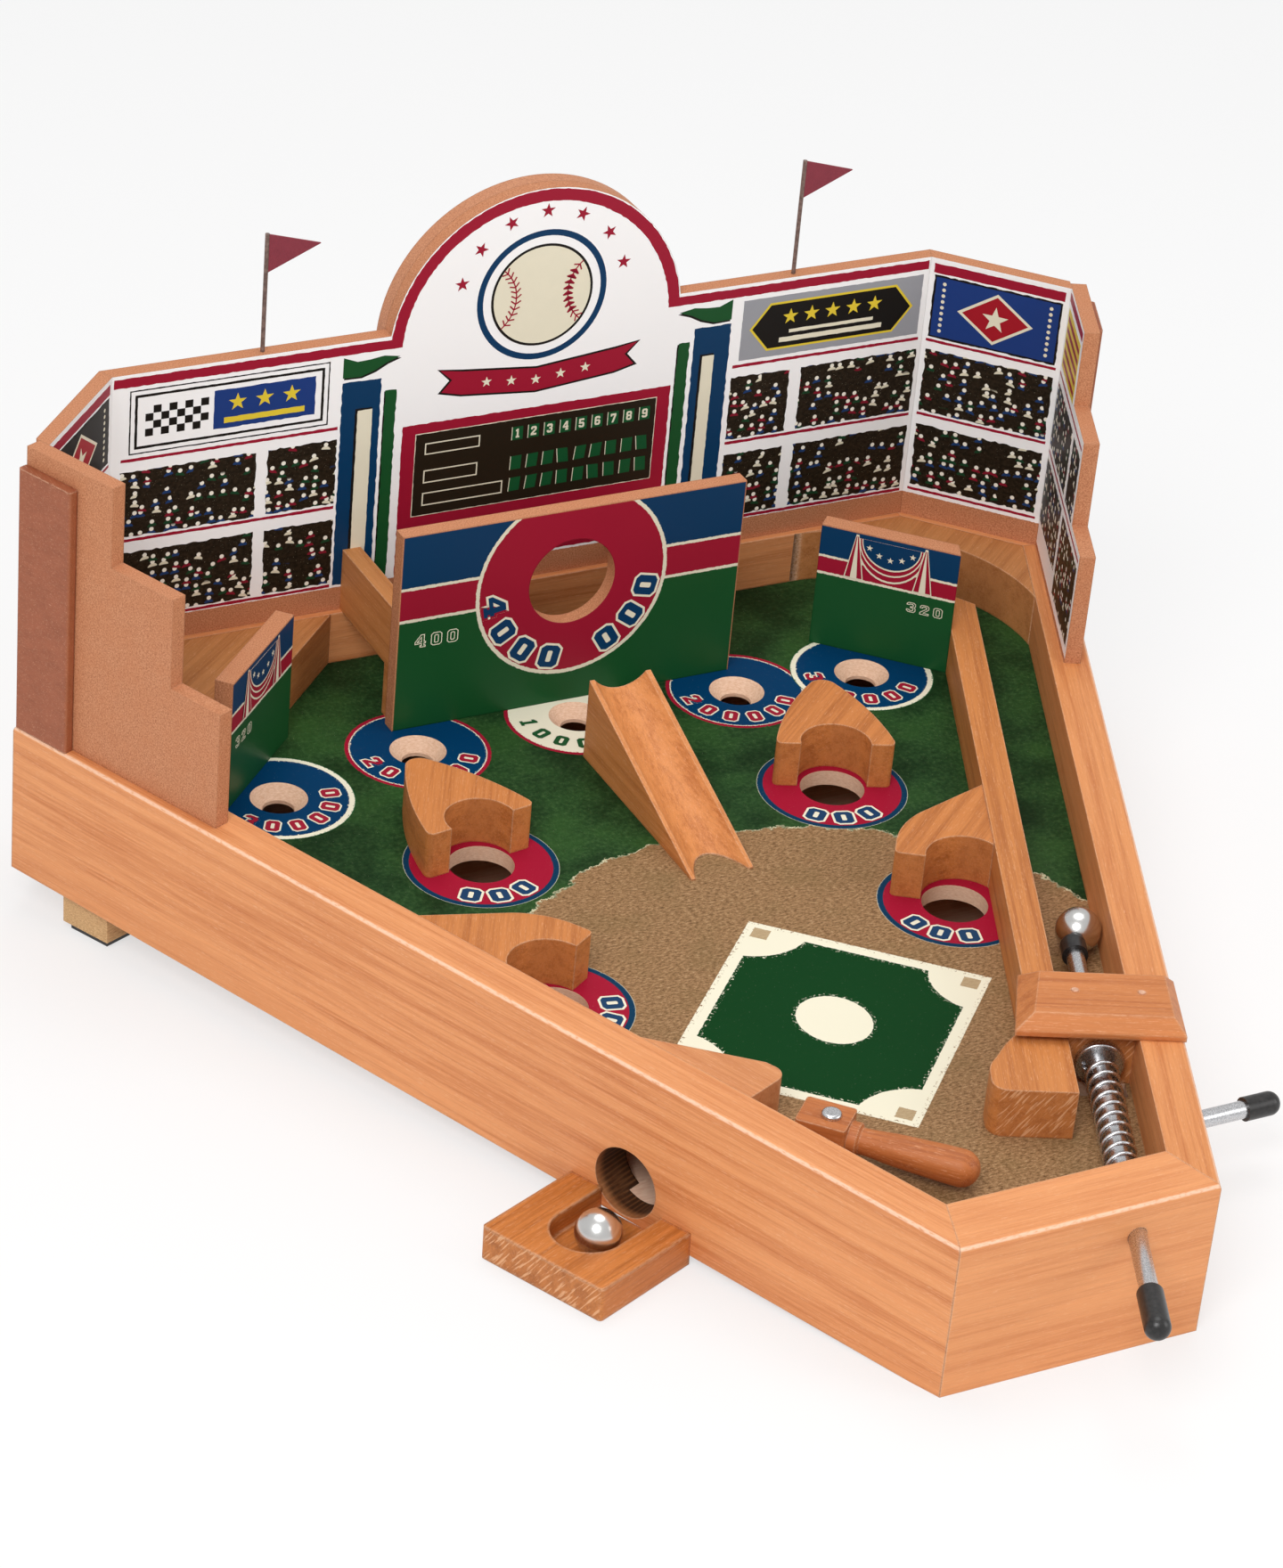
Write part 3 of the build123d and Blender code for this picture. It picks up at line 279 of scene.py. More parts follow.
def bare_fibreboard(name):
    board = Finish(name)
    tone, fine = fibreboard_tone(board, board.box_mm())
    rounded, edge_highlight = board.edges(0.0009)
    # Painted highlight: the board's edges are made paler.
    tone = board.blend(edge_highlight * 0.3, tone, FIBRE_EDGE_HIGHLIGHT)
    return board.dress(Base_Color=tone, Roughness=0.62, Normal=board.bump(fine, 0.3, 0.0001, rounded))


def new_board(name):
    """A board, the place on it, its bare tone and flecks, and that place's three parts."""
    board = Finish(name)
    place = board.box_mm()
    return board, place, fibreboard_tone(board, place), board.split(place)


def lay_print(board, fibre, printed, face, area, gloss, relief):
    """Finishes a board: fibre with a painted highlight on its edges, with the print over it in an area of the
    face.
    """
    tone, fine = fibre
    rounded, edge_highlight = board.edges(0.0008)
    # Painted highlight: the board's edges are made paler.
    tone = board.blend(edge_highlight * 0.25, tone, FIBRE_EDGE_HIGHLIGHT)
    tone = board.blend(area, tone, printed)
    normal = board.bump(fine, relief, 0.0001, rounded)
    return board.dress(Base_Color=tone, Roughness=0.62 - face * gloss, Normal=normal, Specular_IOR_Level=0.2)


def banded(board, above, stripe, outer, inner):
    """Green under navy, with a crimson stripe between them that has cream edges."""
    printed = board.blend(above, GREEN, NAVY)
    printed = board.blend(stripe.under(outer), printed, CREAM)
    return board.blend(stripe.under(inner), printed, CRIMSON)


def printed_board(name, facing, low):
    """Fibreboard with its face printed white from a given height up."""
    board, place, fibre, (x, y, z) = new_board(name)
    wobble = board.noise(place, scale=0.9, detail=1) * 0.5
    face = board.facing(facing).rise(0.85, 0.9) * (z + wobble).rise(low, low + 0.3)
    printed = board.blend(board.noise(place, scale=0.03, detail=1) * 0.05, WHITE, darker(WHITE, 0.8))
    return lay_print(board, fibre, printed, face, face, 0.22, 0.2)


def home_run_print():
    """The middle board: the striped band with a crimson disc over it."""
    board, place, fibre, (x, y, z) = new_board("home_run_print")
    torn = (board.noise(place, scale=0.7, detail=3, roughness=0.7) - 0.5) * 1.3
    printed = banded(board, (z + torn).rise(30.6, 30.9), abs(z - 30.9) + torn * 0.6, 7.2, 6.0)
    reach = board.vector("DISTANCE", board.join(x, z), (-6.1, 29.5, 0)) + torn * 0.7
    printed = board.blend(reach.under(38.5), printed, CREAM)
    printed = board.blend(reach.under(37.0), printed, CRIMSON)
    fade = board.noise(place, scale=0.02, detail=1)
    printed = board.blend(fade * 0.2, printed, paint(6, 20, 14))
    rim = x.rise(-74.6, -74.3) * x.under(62.4, 0.15) * z.under(59.0, 0.15)
    face = board.facing((0, -1, 0)).rise(0.85, 0.9)
    return lay_print(board, fibre, printed, face, face * rim, 0.26, 0.15)


def bunting_print(name, facing):
    """The small outfield boards, which carry the striped band alone."""
    board, place, fibre, (x, y, z) = new_board(name)
    level = z + (board.noise(place, scale=0.8, detail=3, roughness=0.7) - 0.5) * 0.9
    printed = banded(board, level.rise(13.2, 13.4), abs(level - 13.3), 4.1, 3.1)
    face = board.facing(facing).rise(0.85, 0.9) * z.under(29.4, 0.2)
    return lay_print(board, fibre, printed, face, face, 0.24, 0.15)


HIT_HOLES = {
    "single": ((-6.1, 354.0),),
    "double": ((-71.1, 351.3), (58.9, 351.3)),
    "triple": ((-131.0, 338.0), (110.0, 347.5)),
    "out": ((-81.2, 275.0), (60.4, 279.0), (-94.8, 187.5), (65.1, 197.2)),
}
# Round each kind of hole, from the outside in: the radius of a band, how ragged it is, and its colour.
HOLE_BANDS = {
    "out": ((27.45, 0.4, paint(206, 206, 184)), (27.3, 0.4, paint(6, 54, 84)), (25.2, 0.4, CRIMSON)),
    "double": ((26.6, 1, CRIMSON), (25.1, 1, CREAM), (24.7, 0.9, NAVY)),
    "triple": ((27.2, 0, paint(36, 96, 60)), (26.9, 1, CREAM), (24.9, 1, NAVY)),
    "single": ((26.8, 0.5, CRIMSON), (25.3, 1, CREAM)),
}
# The infield: its corner behind, the two directions from there, and half of each side.
INFIELD = (-8.7, 211.6)
ALONG_U, ALONG_V = (0.7117, -0.7025), (-0.6849, -0.7286)
HALF_U, HALF_V = 43.2, 47.4


def playfield_print():
    """Grass behind, dirt in front, the infield, and a disc round each hole."""
    deck = Finish("playfield_print")
    place = deck.box_mm()
    x, y, z = deck.split(place)
    flat = deck.join(x, y)
    blade = deck.noise(flat, scale=0.55, detail=5, roughness=0.72)
    patch = deck.noise(flat, scale=0.035, detail=3)
    grass = deck.ramp(blade, (0.25, paint(20, 42, 20)), (0.5, paint(38, 70, 36)), (0.78, paint(74, 104, 62)))
    grass = deck.blend(patch.rise(0.45, 0.75) * 0.5, grass, paint(54, 92, 42))
    grass = deck.blend(patch.under(0.44, 0.14) * 0.65, grass, paint(10, 32, 14))
    grit = deck.noise(deck.join(x * 0.55, y * 1.15), detail=5, roughness=0.8)
    damp = deck.noise(flat, scale=0.05, detail=2)
    soil = (0.32, paint(76, 52, 34)), (0.46, paint(134, 101, 68))
    sand = (0.58, paint(170, 134, 96)), (0.74, paint(202, 176, 140))
    dirt = deck.blend(damp.rise(0.45, 0.7) * 0.3, deck.ramp(grit, *soil, *sand), paint(120, 98, 62))
    tuft = deck.noise(flat, scale=0.09, detail=1) - 0.5
    tear = deck.noise(flat, scale=0.5, detail=3, roughness=0.7) - 0.5
    tip = deck.noise(flat, scale=1.6, detail=2, roughness=0.6) - 0.5
    notch = deck.noise(flat, scale=0.75, detail=4, roughness=0.8).rise(0.57, 0.6)

    # The dirt ends in an arc behind, and runs on to the front rail.
    behind = (y - 146.0).do("MAXIMUM", 0.0)
    edge = ((x + 4.0) * (x + 4.0) + behind * behind).do("SQRT") + tuft * 9 + tear * 5
    broken = deck.noise(flat, scale=0.22, detail=3, roughness=0.7).rise(0.44, 0.56)
    tone = deck.blend(edge.under(121.0) * (0.35 + broken * 0.55), grass, paint(214, 208, 172))
    tone = deck.blend((edge + tip * 1.8).under(120.3), tone, dirt)

    right, back = x - INFIELD[0], y - INFIELD[1]
    fold_u = HALF_U - abs(right * ALONG_U[0] + back * ALONG_U[1] - HALF_U)
    fold_v = HALF_V - abs(right * ALONG_V[0] + back * ALONG_V[1] - HALF_V)
    rag = tip * 0.5 + tear * 0.7 - notch * 1.5
    inside = fold_u.do("MINIMUM", fold_v)
    tone = deck.blend((inside + tip * 0.5 - notch * 1.6).rise(-0.12, 0.12), tone, CREAM)
    quarter = (fold_u * fold_u + fold_v * fold_v).do("SQRT") + rag
    aside, down = (x + 9.0) * 1.1, y - 148.7
    mound = (aside * aside + down * down).do("SQRT")
    turf = (inside + rag).rise(4.4, 4.6) * quarter.rise(21.6, 21.8) * (mound + rag).rise(14.0, 14.15)
    tone = deck.blend(turf, tone, deck.blend(patch * 0.25, paint(4, 60, 22), paint(2, 46, 14)))
    base = abs(fold_u - 5.9).do("MAXIMUM", abs(fold_v - 5.9)) + tip * 0.8
    tone = deck.blend(base.under(3.0), tone, deck.blend(grit, paint(150, 118, 80), paint(206, 186, 150)))

    rub = tip * 0.7 + notch * 0.5
    for kind, bands in HOLE_BANDS.items():
        reaches = [deck.vector("DISTANCE", flat, hole + (0,)) for hole in HIT_HOLES[kind]]
        nearest = reaches[0]
        for reach in reaches[1:]:
            nearest = nearest.do("MINIMUM", reach)
        for radius, ragged, colour in bands:
            tone = deck.blend((nearest + rub * ragged).under(radius), tone, colour)

    flaked = deck.noise(flat, scale=2.6, detail=2).rise(0.72, 0.76) * 0.4
    tone = deck.blend(flaked, tone, CREAM)
    pale = deck.noise(deck.join(x * 0.8, y * 0.8, z * 3), detail=3)
    raw = deck.ramp(pale, (0.3, paint(218, 176, 146)), (0.7, paint(238, 204, 178)))
    top = deck.facing((0, 0, 1)).rise(0.97, 0.985)
    tone = deck.blend(top, raw, tone)
    normal = deck.bump(blade, 0.12, 0.00008)
    return deck.dress(Base_Color=tone, Roughness=0.6 - top * 0.24, Normal=normal, Specular_IOR_Level=0.06)


# A spectator's width and height.
SEAT = (4.4, 3.7)


def crowd_print(name, heading):
    """Spectators in a dark stand: pale heads over shoulders of several colours."""
    stand = Finish(name)
    along, across, up = stand.split(stand.box_mm(heading))
    seats = stand.join(along / SEAT[0], up / SEAT[1])
    cell = {"voronoi_dimensions": "2D"}
    values = {"Vector": seats, "Scale": 1.0, "Randomness": 0.8}
    spot = stand.node("TexVoronoi", cell, values, out="Position")
    person = stand.node("TexVoronoi", cell, values, out="Color")
    beside, above = stand.split(stand.vector("SUBTRACT", seats, spot, out=0))[:2]
    dx = beside * SEAT[0]
    dy = above * SEAT[1]
    chance, second, third = stand.split(person)
    rung = ((up - 11.8) / 33.2).do("FRACT")
    seated = (chance - rung * 0.42).rise(0.15, 0.17)
    head = ((dx * dx) + (dy - 0.75) * (dy - 0.75)).do("SQRT").under(0.85, 0.1)
    slope = dy + 0.5 + dx * dx * 0.16 + dx * (third - 0.5) * 0.5
    body = ((dx * dx) * 0.32 + slope * slope * 2.2).under(1.0, 0.15)
    shirts = (0.0, paint(132, 22, 44)), (0.28, paint(20, 66, 40)), (0.52, paint(28, 60, 110))
    coat = stand.ramp(second, *shirts, (0.78, paint(226, 220, 196)))
    coat.socket.node.color_ramp.interpolation = "CONSTANT"
    grain = stand.noise(seats, scale=3, detail=3)
    ground = stand.ramp(grain, (0.35, paint(24, 18, 10)), (0.7, paint(48, 38, 26)))
    dust = stand.noise(seats, scale=11, detail=1).rise(0.74, 0.76)
    tone = stand.blend(dust, ground, paint(190, 184, 160))
    tone = stand.blend(body * seated, tone, coat)
    tone = stand.blend(head * seated, tone, paint(246, 242, 228))
    return stand.dress(Base_Color=tone, Roughness=0.45, Specular_IOR_Level=0.18)


def ink(name, colour, fade=0.14):
    """Screen-print ink, a little uneven."""
    coat = Finish(name)
    cloud = coat.noise(coat.box_mm(), scale=0.16, detail=4, roughness=0.6)
    tone = coat.blend(cloud * fade, colour, darker(colour, 0.55))
    return coat.dress(Base_Color=tone, Roughness=0.4, Specular_IOR_Level=0.2)


def rod_steel():
    steel = Finish("rod_steel")
    along, across, up = steel.split(steel.box_mm())
    drawn = steel.noise(steel.join(along * 2, across * 2, up * 2), detail=3)
    tone = steel.ramp(drawn, (0.3, paint(176, 176, 178)), (0.7, paint(224, 224, 226)))
    return steel.dress(Base_Color=tone, Metallic=1.0, Roughness=0.2 + drawn * 0.14)


def ball_steel():
    steel = Finish("ball_steel")
    smear = steel.noise(steel.box_mm(), scale=0.12, detail=1)
    tone = steel.ramp(smear, (0.3, paint(208, 206, 204)), (0.7, paint(222, 221, 219)))
    return steel.dress(Base_Color=tone, Metallic=1.0, Roughness=0.2 + smear * 0.05)


def black_rubber():
    rubber = Finish("black_rubber")
    dust = rubber.noise(rubber.box_mm(), scale=0.8, detail=4)
    tone = rubber.ramp(dust, (0.35, paint(20, 19, 19)), (0.75, paint(44, 42, 41)))
    return rubber.dress(Base_Color=tone, Roughness=0.26 + dust * 0.16)


def pennant_cloth():
    cloth = Finish("pennant_cloth")
    along, across, up = cloth.split(cloth.box_mm())
    weave = (along * 9).do("SINE") * (up * 9).do("SINE")
    cloud = cloth.noise(cloth.box_mm(), scale=0.4, detail=3)
    tone = cloth.blend(cloud * 0.5, paint(142, 52, 66), paint(104, 34, 48))
    return cloth.dress(Base_Color=tone, Roughness=0.75, Normal=cloth.bump(weave, 0.3, 0.0001))


def dull_metal(name, low, high):
    metal = Finish(name)
    cloud = metal.noise(metal.box_mm(), scale=0.6, detail=3)
    tone = metal.ramp(cloud, (0.3, paint(*low)), (0.7, paint(*high)))
    return metal.dress(Base_Color=tone, Metallic=0.5, Roughness=0.5)


def plywood(name, low, high):
    sheet = Finish(name)
    x, y, z = sheet.split(sheet.box_mm())
    fibre = sheet.noise(sheet.join(x * 0.06, y * 1.2, z * 3), detail=4)
    tone = sheet.ramp(fibre, (0.3, paint(*low)), (0.7, paint(*high)))
    return sheet.dress(Base_Color=tone, Roughness=0.66, Normal=sheet.bump(fibre, 0.3, 0.0001))


def wear(material, *names):
    for name in names:
        nodes[name].data.materials.clear()
        nodes[name].data.materials.append(material)


# Headings of the side rails.
LEFT, RIGHT = 90 + FAN, 90 - FAN
AMBER, UMBER = (234, 158, 102), (196, 116, 64)
HONEY, WALNUT = (208, 130, 68), (166, 94, 40)
# For each wood the nodes it dresses, then what oiled_wood takes after the name, in its order.
WOODS = {
    "front_rail_oak": ("front_rail", 0, (-34, -66), 4, 1.3, 0.06, AMBER, (208, 130, 78), {"rubbed": 0.6}),
    "left_rail_wood": (
        "left_rail", LEFT, (80, -58), 5, 2.1, 0.18, AMBER, UMBER, {"rubbed": 0.6, "bore": (149.25, -44.8)}
    ),
    "right_rail_wood": (
        "right_rail", RIGHT, (-90, -20), 4, 3.4, 0.16, (226, 150, 92), (190, 112, 60), {"rubbed": 0.5}
    ),
    "back_rail_wood": ("back_rail", 0, (360, -60), 4, 4.2, 0.16, AMBER, UMBER, {}),
    "corner_left_wood": ("corner_rail_left", BEND, (200, -60), 3.4, 5.1, 0.16, AMBER, UMBER, {}),
    "corner_right_wood": ("corner_rail_right", -BEND, (200, -60), 3.4, 5.7, 0.16, AMBER, UMBER, {}),
    "tray_wood": (
        "ball_tray", LEFT - 90, (70, -86), 2.6, 2.7, 0.2, (208, 128, 62), (158, 88, 32),
        {"cut": 0.5, "soft": 0.0022},
    ),
    "divider_wood": (
        "lane_divider plunger_block", RIGHT, (-40, -60), 2.8, 7.3, 0.1, (208, 132, 70), (166, 94, 42),
        {"cut": 0.5},
    ),
    "guide_wood": ("left_guide", LEFT, (50, -60), 3, 8.2, 0.2, (218, 146, 94), (184, 108, 60), {}),
    "bridge_wood": (
        "bridge", -FAN, (60, -20), 3.4, 9.1, 0.08, (208, 130, 74), (174, 98, 50), {"soft": 0.0014}
    ),
    "bumper_wood": (
        "bumper_upper_left bumper_lower_left", 62, (-180, -60), 2.6, 3.9, 0.08, HONEY, WALNUT, {}
    ),
    "bumper_wood_right": (
        "bumper_upper_right bumper_lower_right", 40, (120, -80), 2.6, 6.6, 0.08, HONEY, WALNUT, {}
    ),
    "ramp_wood": ("ramp", 90, (12, -44), 2.6, 4.8, 0.08, (220, 142, 80), (180, 104, 48), {}),
    "filler_wood": (
        "left_filler right_filler", 40, (300, -60), 4, 5.2, 0.1, (206, 138, 82), (172, 106, 56), {}
    ),
    "bracket_wood": (
        "bracket_left bracket_right lever_block", 90, (90, -60), 3, 2.2, 0.1,
        (206, 138, 80), (172, 104, 52), {},
    ),
    "bat_wood": ("bat", -45.9, (60, -60), 3, 4.4, 0.08, (194, 114, 60), (152, 80, 38), {}),
    "stained_left": ("batten_left batten_right", 90, (14, -70), 3.4, 6, 0, (160, 90, 60), (142, 78, 50), {}),
}
for wood_name, (dressed, *grain, own) in WOODS.items():
    wear(oiled_wood(wood_name, *grain, **own), *dressed.split())
wear(plywood("plywood", (180, 136, 88), (222, 184, 134)), "rear_foot_left", "rear_foot_right")
wear(plywood("base_plywood", (228, 180, 150), (244, 208, 182)), "base_panel", "return_deflector")
wear(playfield_print(), "playfield")
wear(printed_board("main_board_print", (0, -1, 0), 9.6), "main_board")
wear(bare_fibreboard("arch_fibreboard"), "arch_backing")
wear(home_run_print(), "home_run_board")
for side, way in (("left", 1), ("right", -1)):
    wear(printed_board("panel_print_" + side, (way * SB, -CB, 0), 9.6), "angled_panel_" + side)
    wear(printed_board("wing_print_" + side, (way * CF, SF, 0), 1.6), "wing_" + side)
    wear(bunting_print("bunting_print_" + side, (way * 0.6987, -0.7154, 0)), "bunting_board_" + side)
wear(dull_metal("dull_pole", (104, 84, 78), (150, 128, 120)), "flag_pole_left", "flag_pole_right")
wear(dull_metal("dull_nail", (196, 140, 110), (236, 190, 160)), "bridge_nails")
wear(pennant_cloth(), "pennant_left", "pennant_right")
wear(rod_steel(), "plunger_rod", "plunger_collar", "plunger_spring", "bat_spindle", "bat_crank", "lever_rod")
wear(ball_steel(), "lane_ball", "tray_ball")
wear(black_rubber(), "plunger_tip", "plunger_cap", "lever_cap", "rubber_pad_left", "rubber_pad_right")


def new_object(name, data):
    made = bpy.data.objects.new(name, data)
    bpy.context.scene.collection.objects.link(made)
    return made


def pick(piece):
    """Makes the piece the active one, and the only one selected."""
    bpy.ops.object.select_all(action="DESELECT")
    piece.select_set(True)
    bpy.context.view_layer.objects.active = piece


def weld(outwards):
    """Merges the doubles of the picked piece, and turns its faces outwards if asked."""
    bpy.ops.object.mode_set(mode="EDIT")
    bpy.ops.mesh.select_all(action="SELECT")
    bpy.ops.mesh.remove_doubles(threshold=MERGE)
    if outwards:
        bpy.ops.mesh.normals_make_consistent(inside=False)
    bpy.ops.object.mode_set(mode="OBJECT")


def working_spring():
    """The spring between its seat and the collar, as a welded, smoothed piece of its own in place of the
    imported one.
    """
    coil = new_object("working_spring", nodes["plunger_spring"].data.copy())
    pick(coil)
    weld(False)
    bpy.ops.object.shade_smooth_by_angle(angle=math.radians(40))
    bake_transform(coil)
    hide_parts("plunger_spring")


working_spring()


def face_of(origin, right, up=(0, 0, 1)):
    """The frame of a printed face: X to the right on it, Y up, and Z out of it."""
    out = Vector(right).cross(Vector(up))
    columns = (Vector(right), Vector(up), out, Vector(origin))
    return Matrix([[c[i] for c in columns] for i in range(3)] + [[0, 0, 0, 1]])


MAIN = face_of((0, 421.1, 0), (1, 0, 0))
PANEL_RIGHT = face_of((164.9, 421.1, 0), (CB, -SB, 0))
PANEL_LEFT = face_of((-164.9, 421.1, 0), (CB, SB, 0))
WING_RIGHT = face_of((47.5 - CF * 10.4, SF * 10.4, 0), (-SF, -CF, 0))
WING_LEFT = face_of((-47.5 + CF * 10.4, SF * 10.4, 0), (-SF, CF, 0))
HOME_RUN = face_of((-6.1, 366.3, 29.5), (1, 0, 0))
BUNTING_RIGHT = face_of((102.1, 375.0, 0), (0.7154, -0.6987, 0))
BUNTING_LEFT = face_of((-150.5, 337.3, 0), (0.7154, 0.6987, 0))
DECK = face_of((0, 0, DECK_Z), (1, 0, 0), (0, 1, 0))
# Prints are thin flat shapes laid on a face: half their thickness, and from one layer to the next.
PRINT_HALF, LAYER_STEP = 0.015, 0.035
inks = {}


def ink_of(name, colour):
    if name not in inks:
        inks[name] = ink("ink_" + name, colour)
    return inks[name]


def lay(name, face, layer, material, loops):
    """Lays closed outlines on a face as one thin print; an outline inside another is a hole."""
    drawing = bpy.data.curves.new(name, "CURVE")
    drawing.dimensions = "2D"
    drawing.fill_mode = "BOTH"
    drawing.extrude = PRINT_HALF
    for loop in loops:
        spline = drawing.splines.new("POLY")
        spline.points.add(len(loop) - 1)
        for point, (a, b) in zip(spline.points, loop):
            point.co = (a, b, 0, 1)
        spline.use_cyclic_u = True
    pick(new_object(name, drawing))
    bpy.ops.object.convert(target="MESH")
    piece = bpy.context.view_layer.objects.active
    proud = Matrix.Translation((0, 0, PRINT_HALF + LAYER_STEP * layer))
    piece.data.transform(BOX_TO_TABLE @ face @ proud)
    weld(True)
    piece.data.materials.clear()
    piece.data.materials.append(material)
    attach(piece, "box")


def torn(points, rag, seed=1):
    """The closed outline of the points with an uneven, hand-cut edge."""
    chance = random.Random(seed)
    loop = []
    for (a0, b0), (a1, b1) in zip(points, points[1:] + points[:1]):
        run = math.hypot(a1 - a0, b1 - b0)
        count = max(1, round(run / 1.6))
        for i in range(count):
            t = i / count
            push = chance.uniform(-rag, rag)
            a = a0 + (a1 - a0) * t - (b1 - b0) / run * push
            b = b0 + (b1 - b0) * t + (a1 - a0) / run * push
            loop.append((a, b))
    return loop


def square(a0, b0, a1, b1):
    return [(a0, b0), (a1, b0), (a1, b1), (a0, b1)]


def panel(a0, b0, a1, b1, rag=0.22):
    return torn(square(a0, b0, a1, b1), rag, round(a0 * 7 + b0))


def panels(name, face, layer, material, *boxes):
    """Prints rectangles: two opposite corners of each, and how ragged its edge is."""
    lay(name, face, layer, material, [panel(*box) for box in boxes])


def at(centre, radius, turn):
    """The point of a circle at an angle in degrees."""
    angle = math.radians(turn)
    return (centre[0] + radius * math.cos(angle), centre[1] + radius * math.sin(angle))


def arc(centre, radius, start, end, count):
    return [at(centre, radius, start + (end - start) * i / count) for i in range(count + 1)]


def ring(centre, radius, count=64):
    return arc(centre, radius, 0, 360, count)[:-1]


def star(centre, size, turn=90):
    return [at(centre, size * 0.4 if i % 2 else size, turn + 36 * i) for i in range(10)]


# Block numerals on a grid 5 wide and 7 tall: the outline, then the openings in it.
FOOT = [(1, 0), (4, 0), (5, 1)]
CROWN = [(5, 6), (4, 7), (1, 7), (0, 6)]
LIP = [(1.6, 5.2), (1.9, 5.5), (3.1, 5.5)]
HOOK = [(3.4, 1.8), (3.1, 1.5), (1.9, 1.5), (1.6, 1.8), (1.6, 2.1), (0, 2.1), (0, 1)]
OPEN = [(2.1, 1.7), (2.9, 1.7), (3.15, 2), (3.15, 5), (2.9, 5.3), (2.1, 5.3), (1.85, 5), (1.85, 2)]
ONE = [(0.9, 0), (4.1, 0), (4.1, 1.3), (3.3, 1.3), (3.3, 7), (2.1, 7), (0.8, 6.1)]
ONE += [(0.8, 4.9), (1.7, 5.2), (1.7, 1.3), (0.9, 1.3)]
TWO = [(0, 0), (5, 0), (5, 1.5), (2.3, 1.5), (5, 4.2)] + CROWN + [(0, 4.6), (1.6, 4.6)] + LIP
TWO += [(3.4, 5.2), (3.4, 4.7), (0, 1.6)]
THREE = FOOT + [(5, 3), (4.4, 3.6), (5, 4.2)] + CROWN + [(0, 5), (1.6, 5)] + LIP
THREE += [(3.4, 5.2), (3.4, 4.5), (3.1, 4.2), (2, 4.2), (2, 3), (3.1, 3), (3.4, 2.7)] + HOOK
FOUR = [(2.3, 0), (5, 0), (5, 1.2), (4.4, 1.2), (4.4, 1.9), (5, 1.9), (5, 3.2), (4.4, 3.2), (4.4, 7)]
FOUR += [(2.6, 7), (0, 3.2), (0, 1.9), (2.9, 1.9), (2.9, 1.2), (2.3, 1.2)]
FIVE = FOOT + [(5, 3.4), (4, 4.4), (1.7, 4.4), (1.7, 5.6), (4.7, 5.6), (4.7, 7), (0.1, 7), (0.1, 3)]
FIVE += [(3, 3), (3.4, 2.6)] + HOOK
SIX = FOOT + [(5, 3.4), (4, 4.3), (1.6, 4.3)] + LIP + [(3.4, 5.1), (5, 5.1)] + CROWN + [(0, 1)]
SIX_OPEN = [(1.9, 1.4), (3.1, 1.4), (3.4, 1.7), (3.4, 2.7), (3.1, 3), (1.6, 3), (1.6, 1.7)]
SEVEN = [(1.2, 0), (2.9, 0), (5, 5.2), (5, 7), (0, 7), (0, 4.9), (1.4, 4.9), (1.4, 5.5), (3.3, 5.5)]
EIGHT = FOOT + [(5, 3.1), (4.5, 3.6), (5, 4.1)] + CROWN + [(0, 4.1), (0.5, 3.6), (0, 3.1), (0, 1)]
NUMERALS = {
    "0": [FOOT + CROWN + [(0, 1)], OPEN],
    "1": [ONE],
    "2": [TWO],
    "3": [THREE],
    "4": [FOUR, [(1.5, 3.2), (2.9, 3.2), (2.9, 5.2)]],
    "5": [FIVE],
    "6": [SIX, SIX_OPEN],
    "7": [SEVEN],
    "8": [EIGHT, square(1.6, 1.4, 3.4, 2.9), square(1.6, 4.3, 3.4, 5.6)],
    "9": [[(5 - x, 7 - y) for x, y in SIX], [(5 - x, 7 - y) for x, y in SIX_OPEN]],
}


def swell(loop, amount):
    """The outline moved outwards by an amount, with its corners kept."""
    grown = []
    for (xa, ya), (x, y), (xb, yb) in zip(loop[-1:] + loop[:-1], loop, loop[1:] + loop[:1]):
        first = Vector((x - xa, y - ya)).normalized()
        then = Vector((xb - x, yb - y)).normalized()
        out_a, out_b = Vector((first.y, -first.x)), Vector((then.y, -then.x))
        push = (out_a + out_b) * (amount / max(0.35, 1 + out_a.dot(out_b)))
        grown.append((x + push.x, y + push.y))
    return grown


def numeral(mark, centre, wide, tall, turn=0.0, grow=0.0):
    """Outlines of one numeral about its centre, its foot turned by an angle in degrees."""
    cos, sin = math.cos(math.radians(turn)), math.sin(math.radians(turn))
    loops = []
    for i, loop in enumerate(NUMERALS[mark]):
        sized = [((x - 2.5) * wide / 5, (y - 3.5) * tall / 7) for x, y in loop]
        sized = swell(sized, -grow if i else grow)
        loops.append([(centre[0] + x * cos - y * sin, centre[1] + x * sin + y * cos) for x, y in sized])
    return loops


def numerals_on_arc(marks, centre, radius, turns, wide, tall, grow):
    """For each numeral round a circle its outline, then its openings."""
    places = [(mark, at(centre, radius, turn), turn + 90) for mark, turn in zip(marks, turns)]
    return [numeral(mark, place, wide, tall, turn, grow) for mark, place, turn in places]


def arc_numerals(name, face, marks, centre, radius, turns, wide, tall, colour, edge):
    """Numerals round a disc in one colour, each with a cream edge."""
    rims = numerals_on_arc(marks, centre, radius, turns, wide, tall, edge)
    bodies = numerals_on_arc(marks, centre, radius, turns, wide, tall, 0.0)
    lay(name + "_edge", face, 0, cream, [rim[0] for rim in rims])
    lay(name, face, 1, colour, sum(bodies, []))


def spread(middle, span, count):
    return [middle - span / 2 + span * i / (count - 1) for i in range(count)]


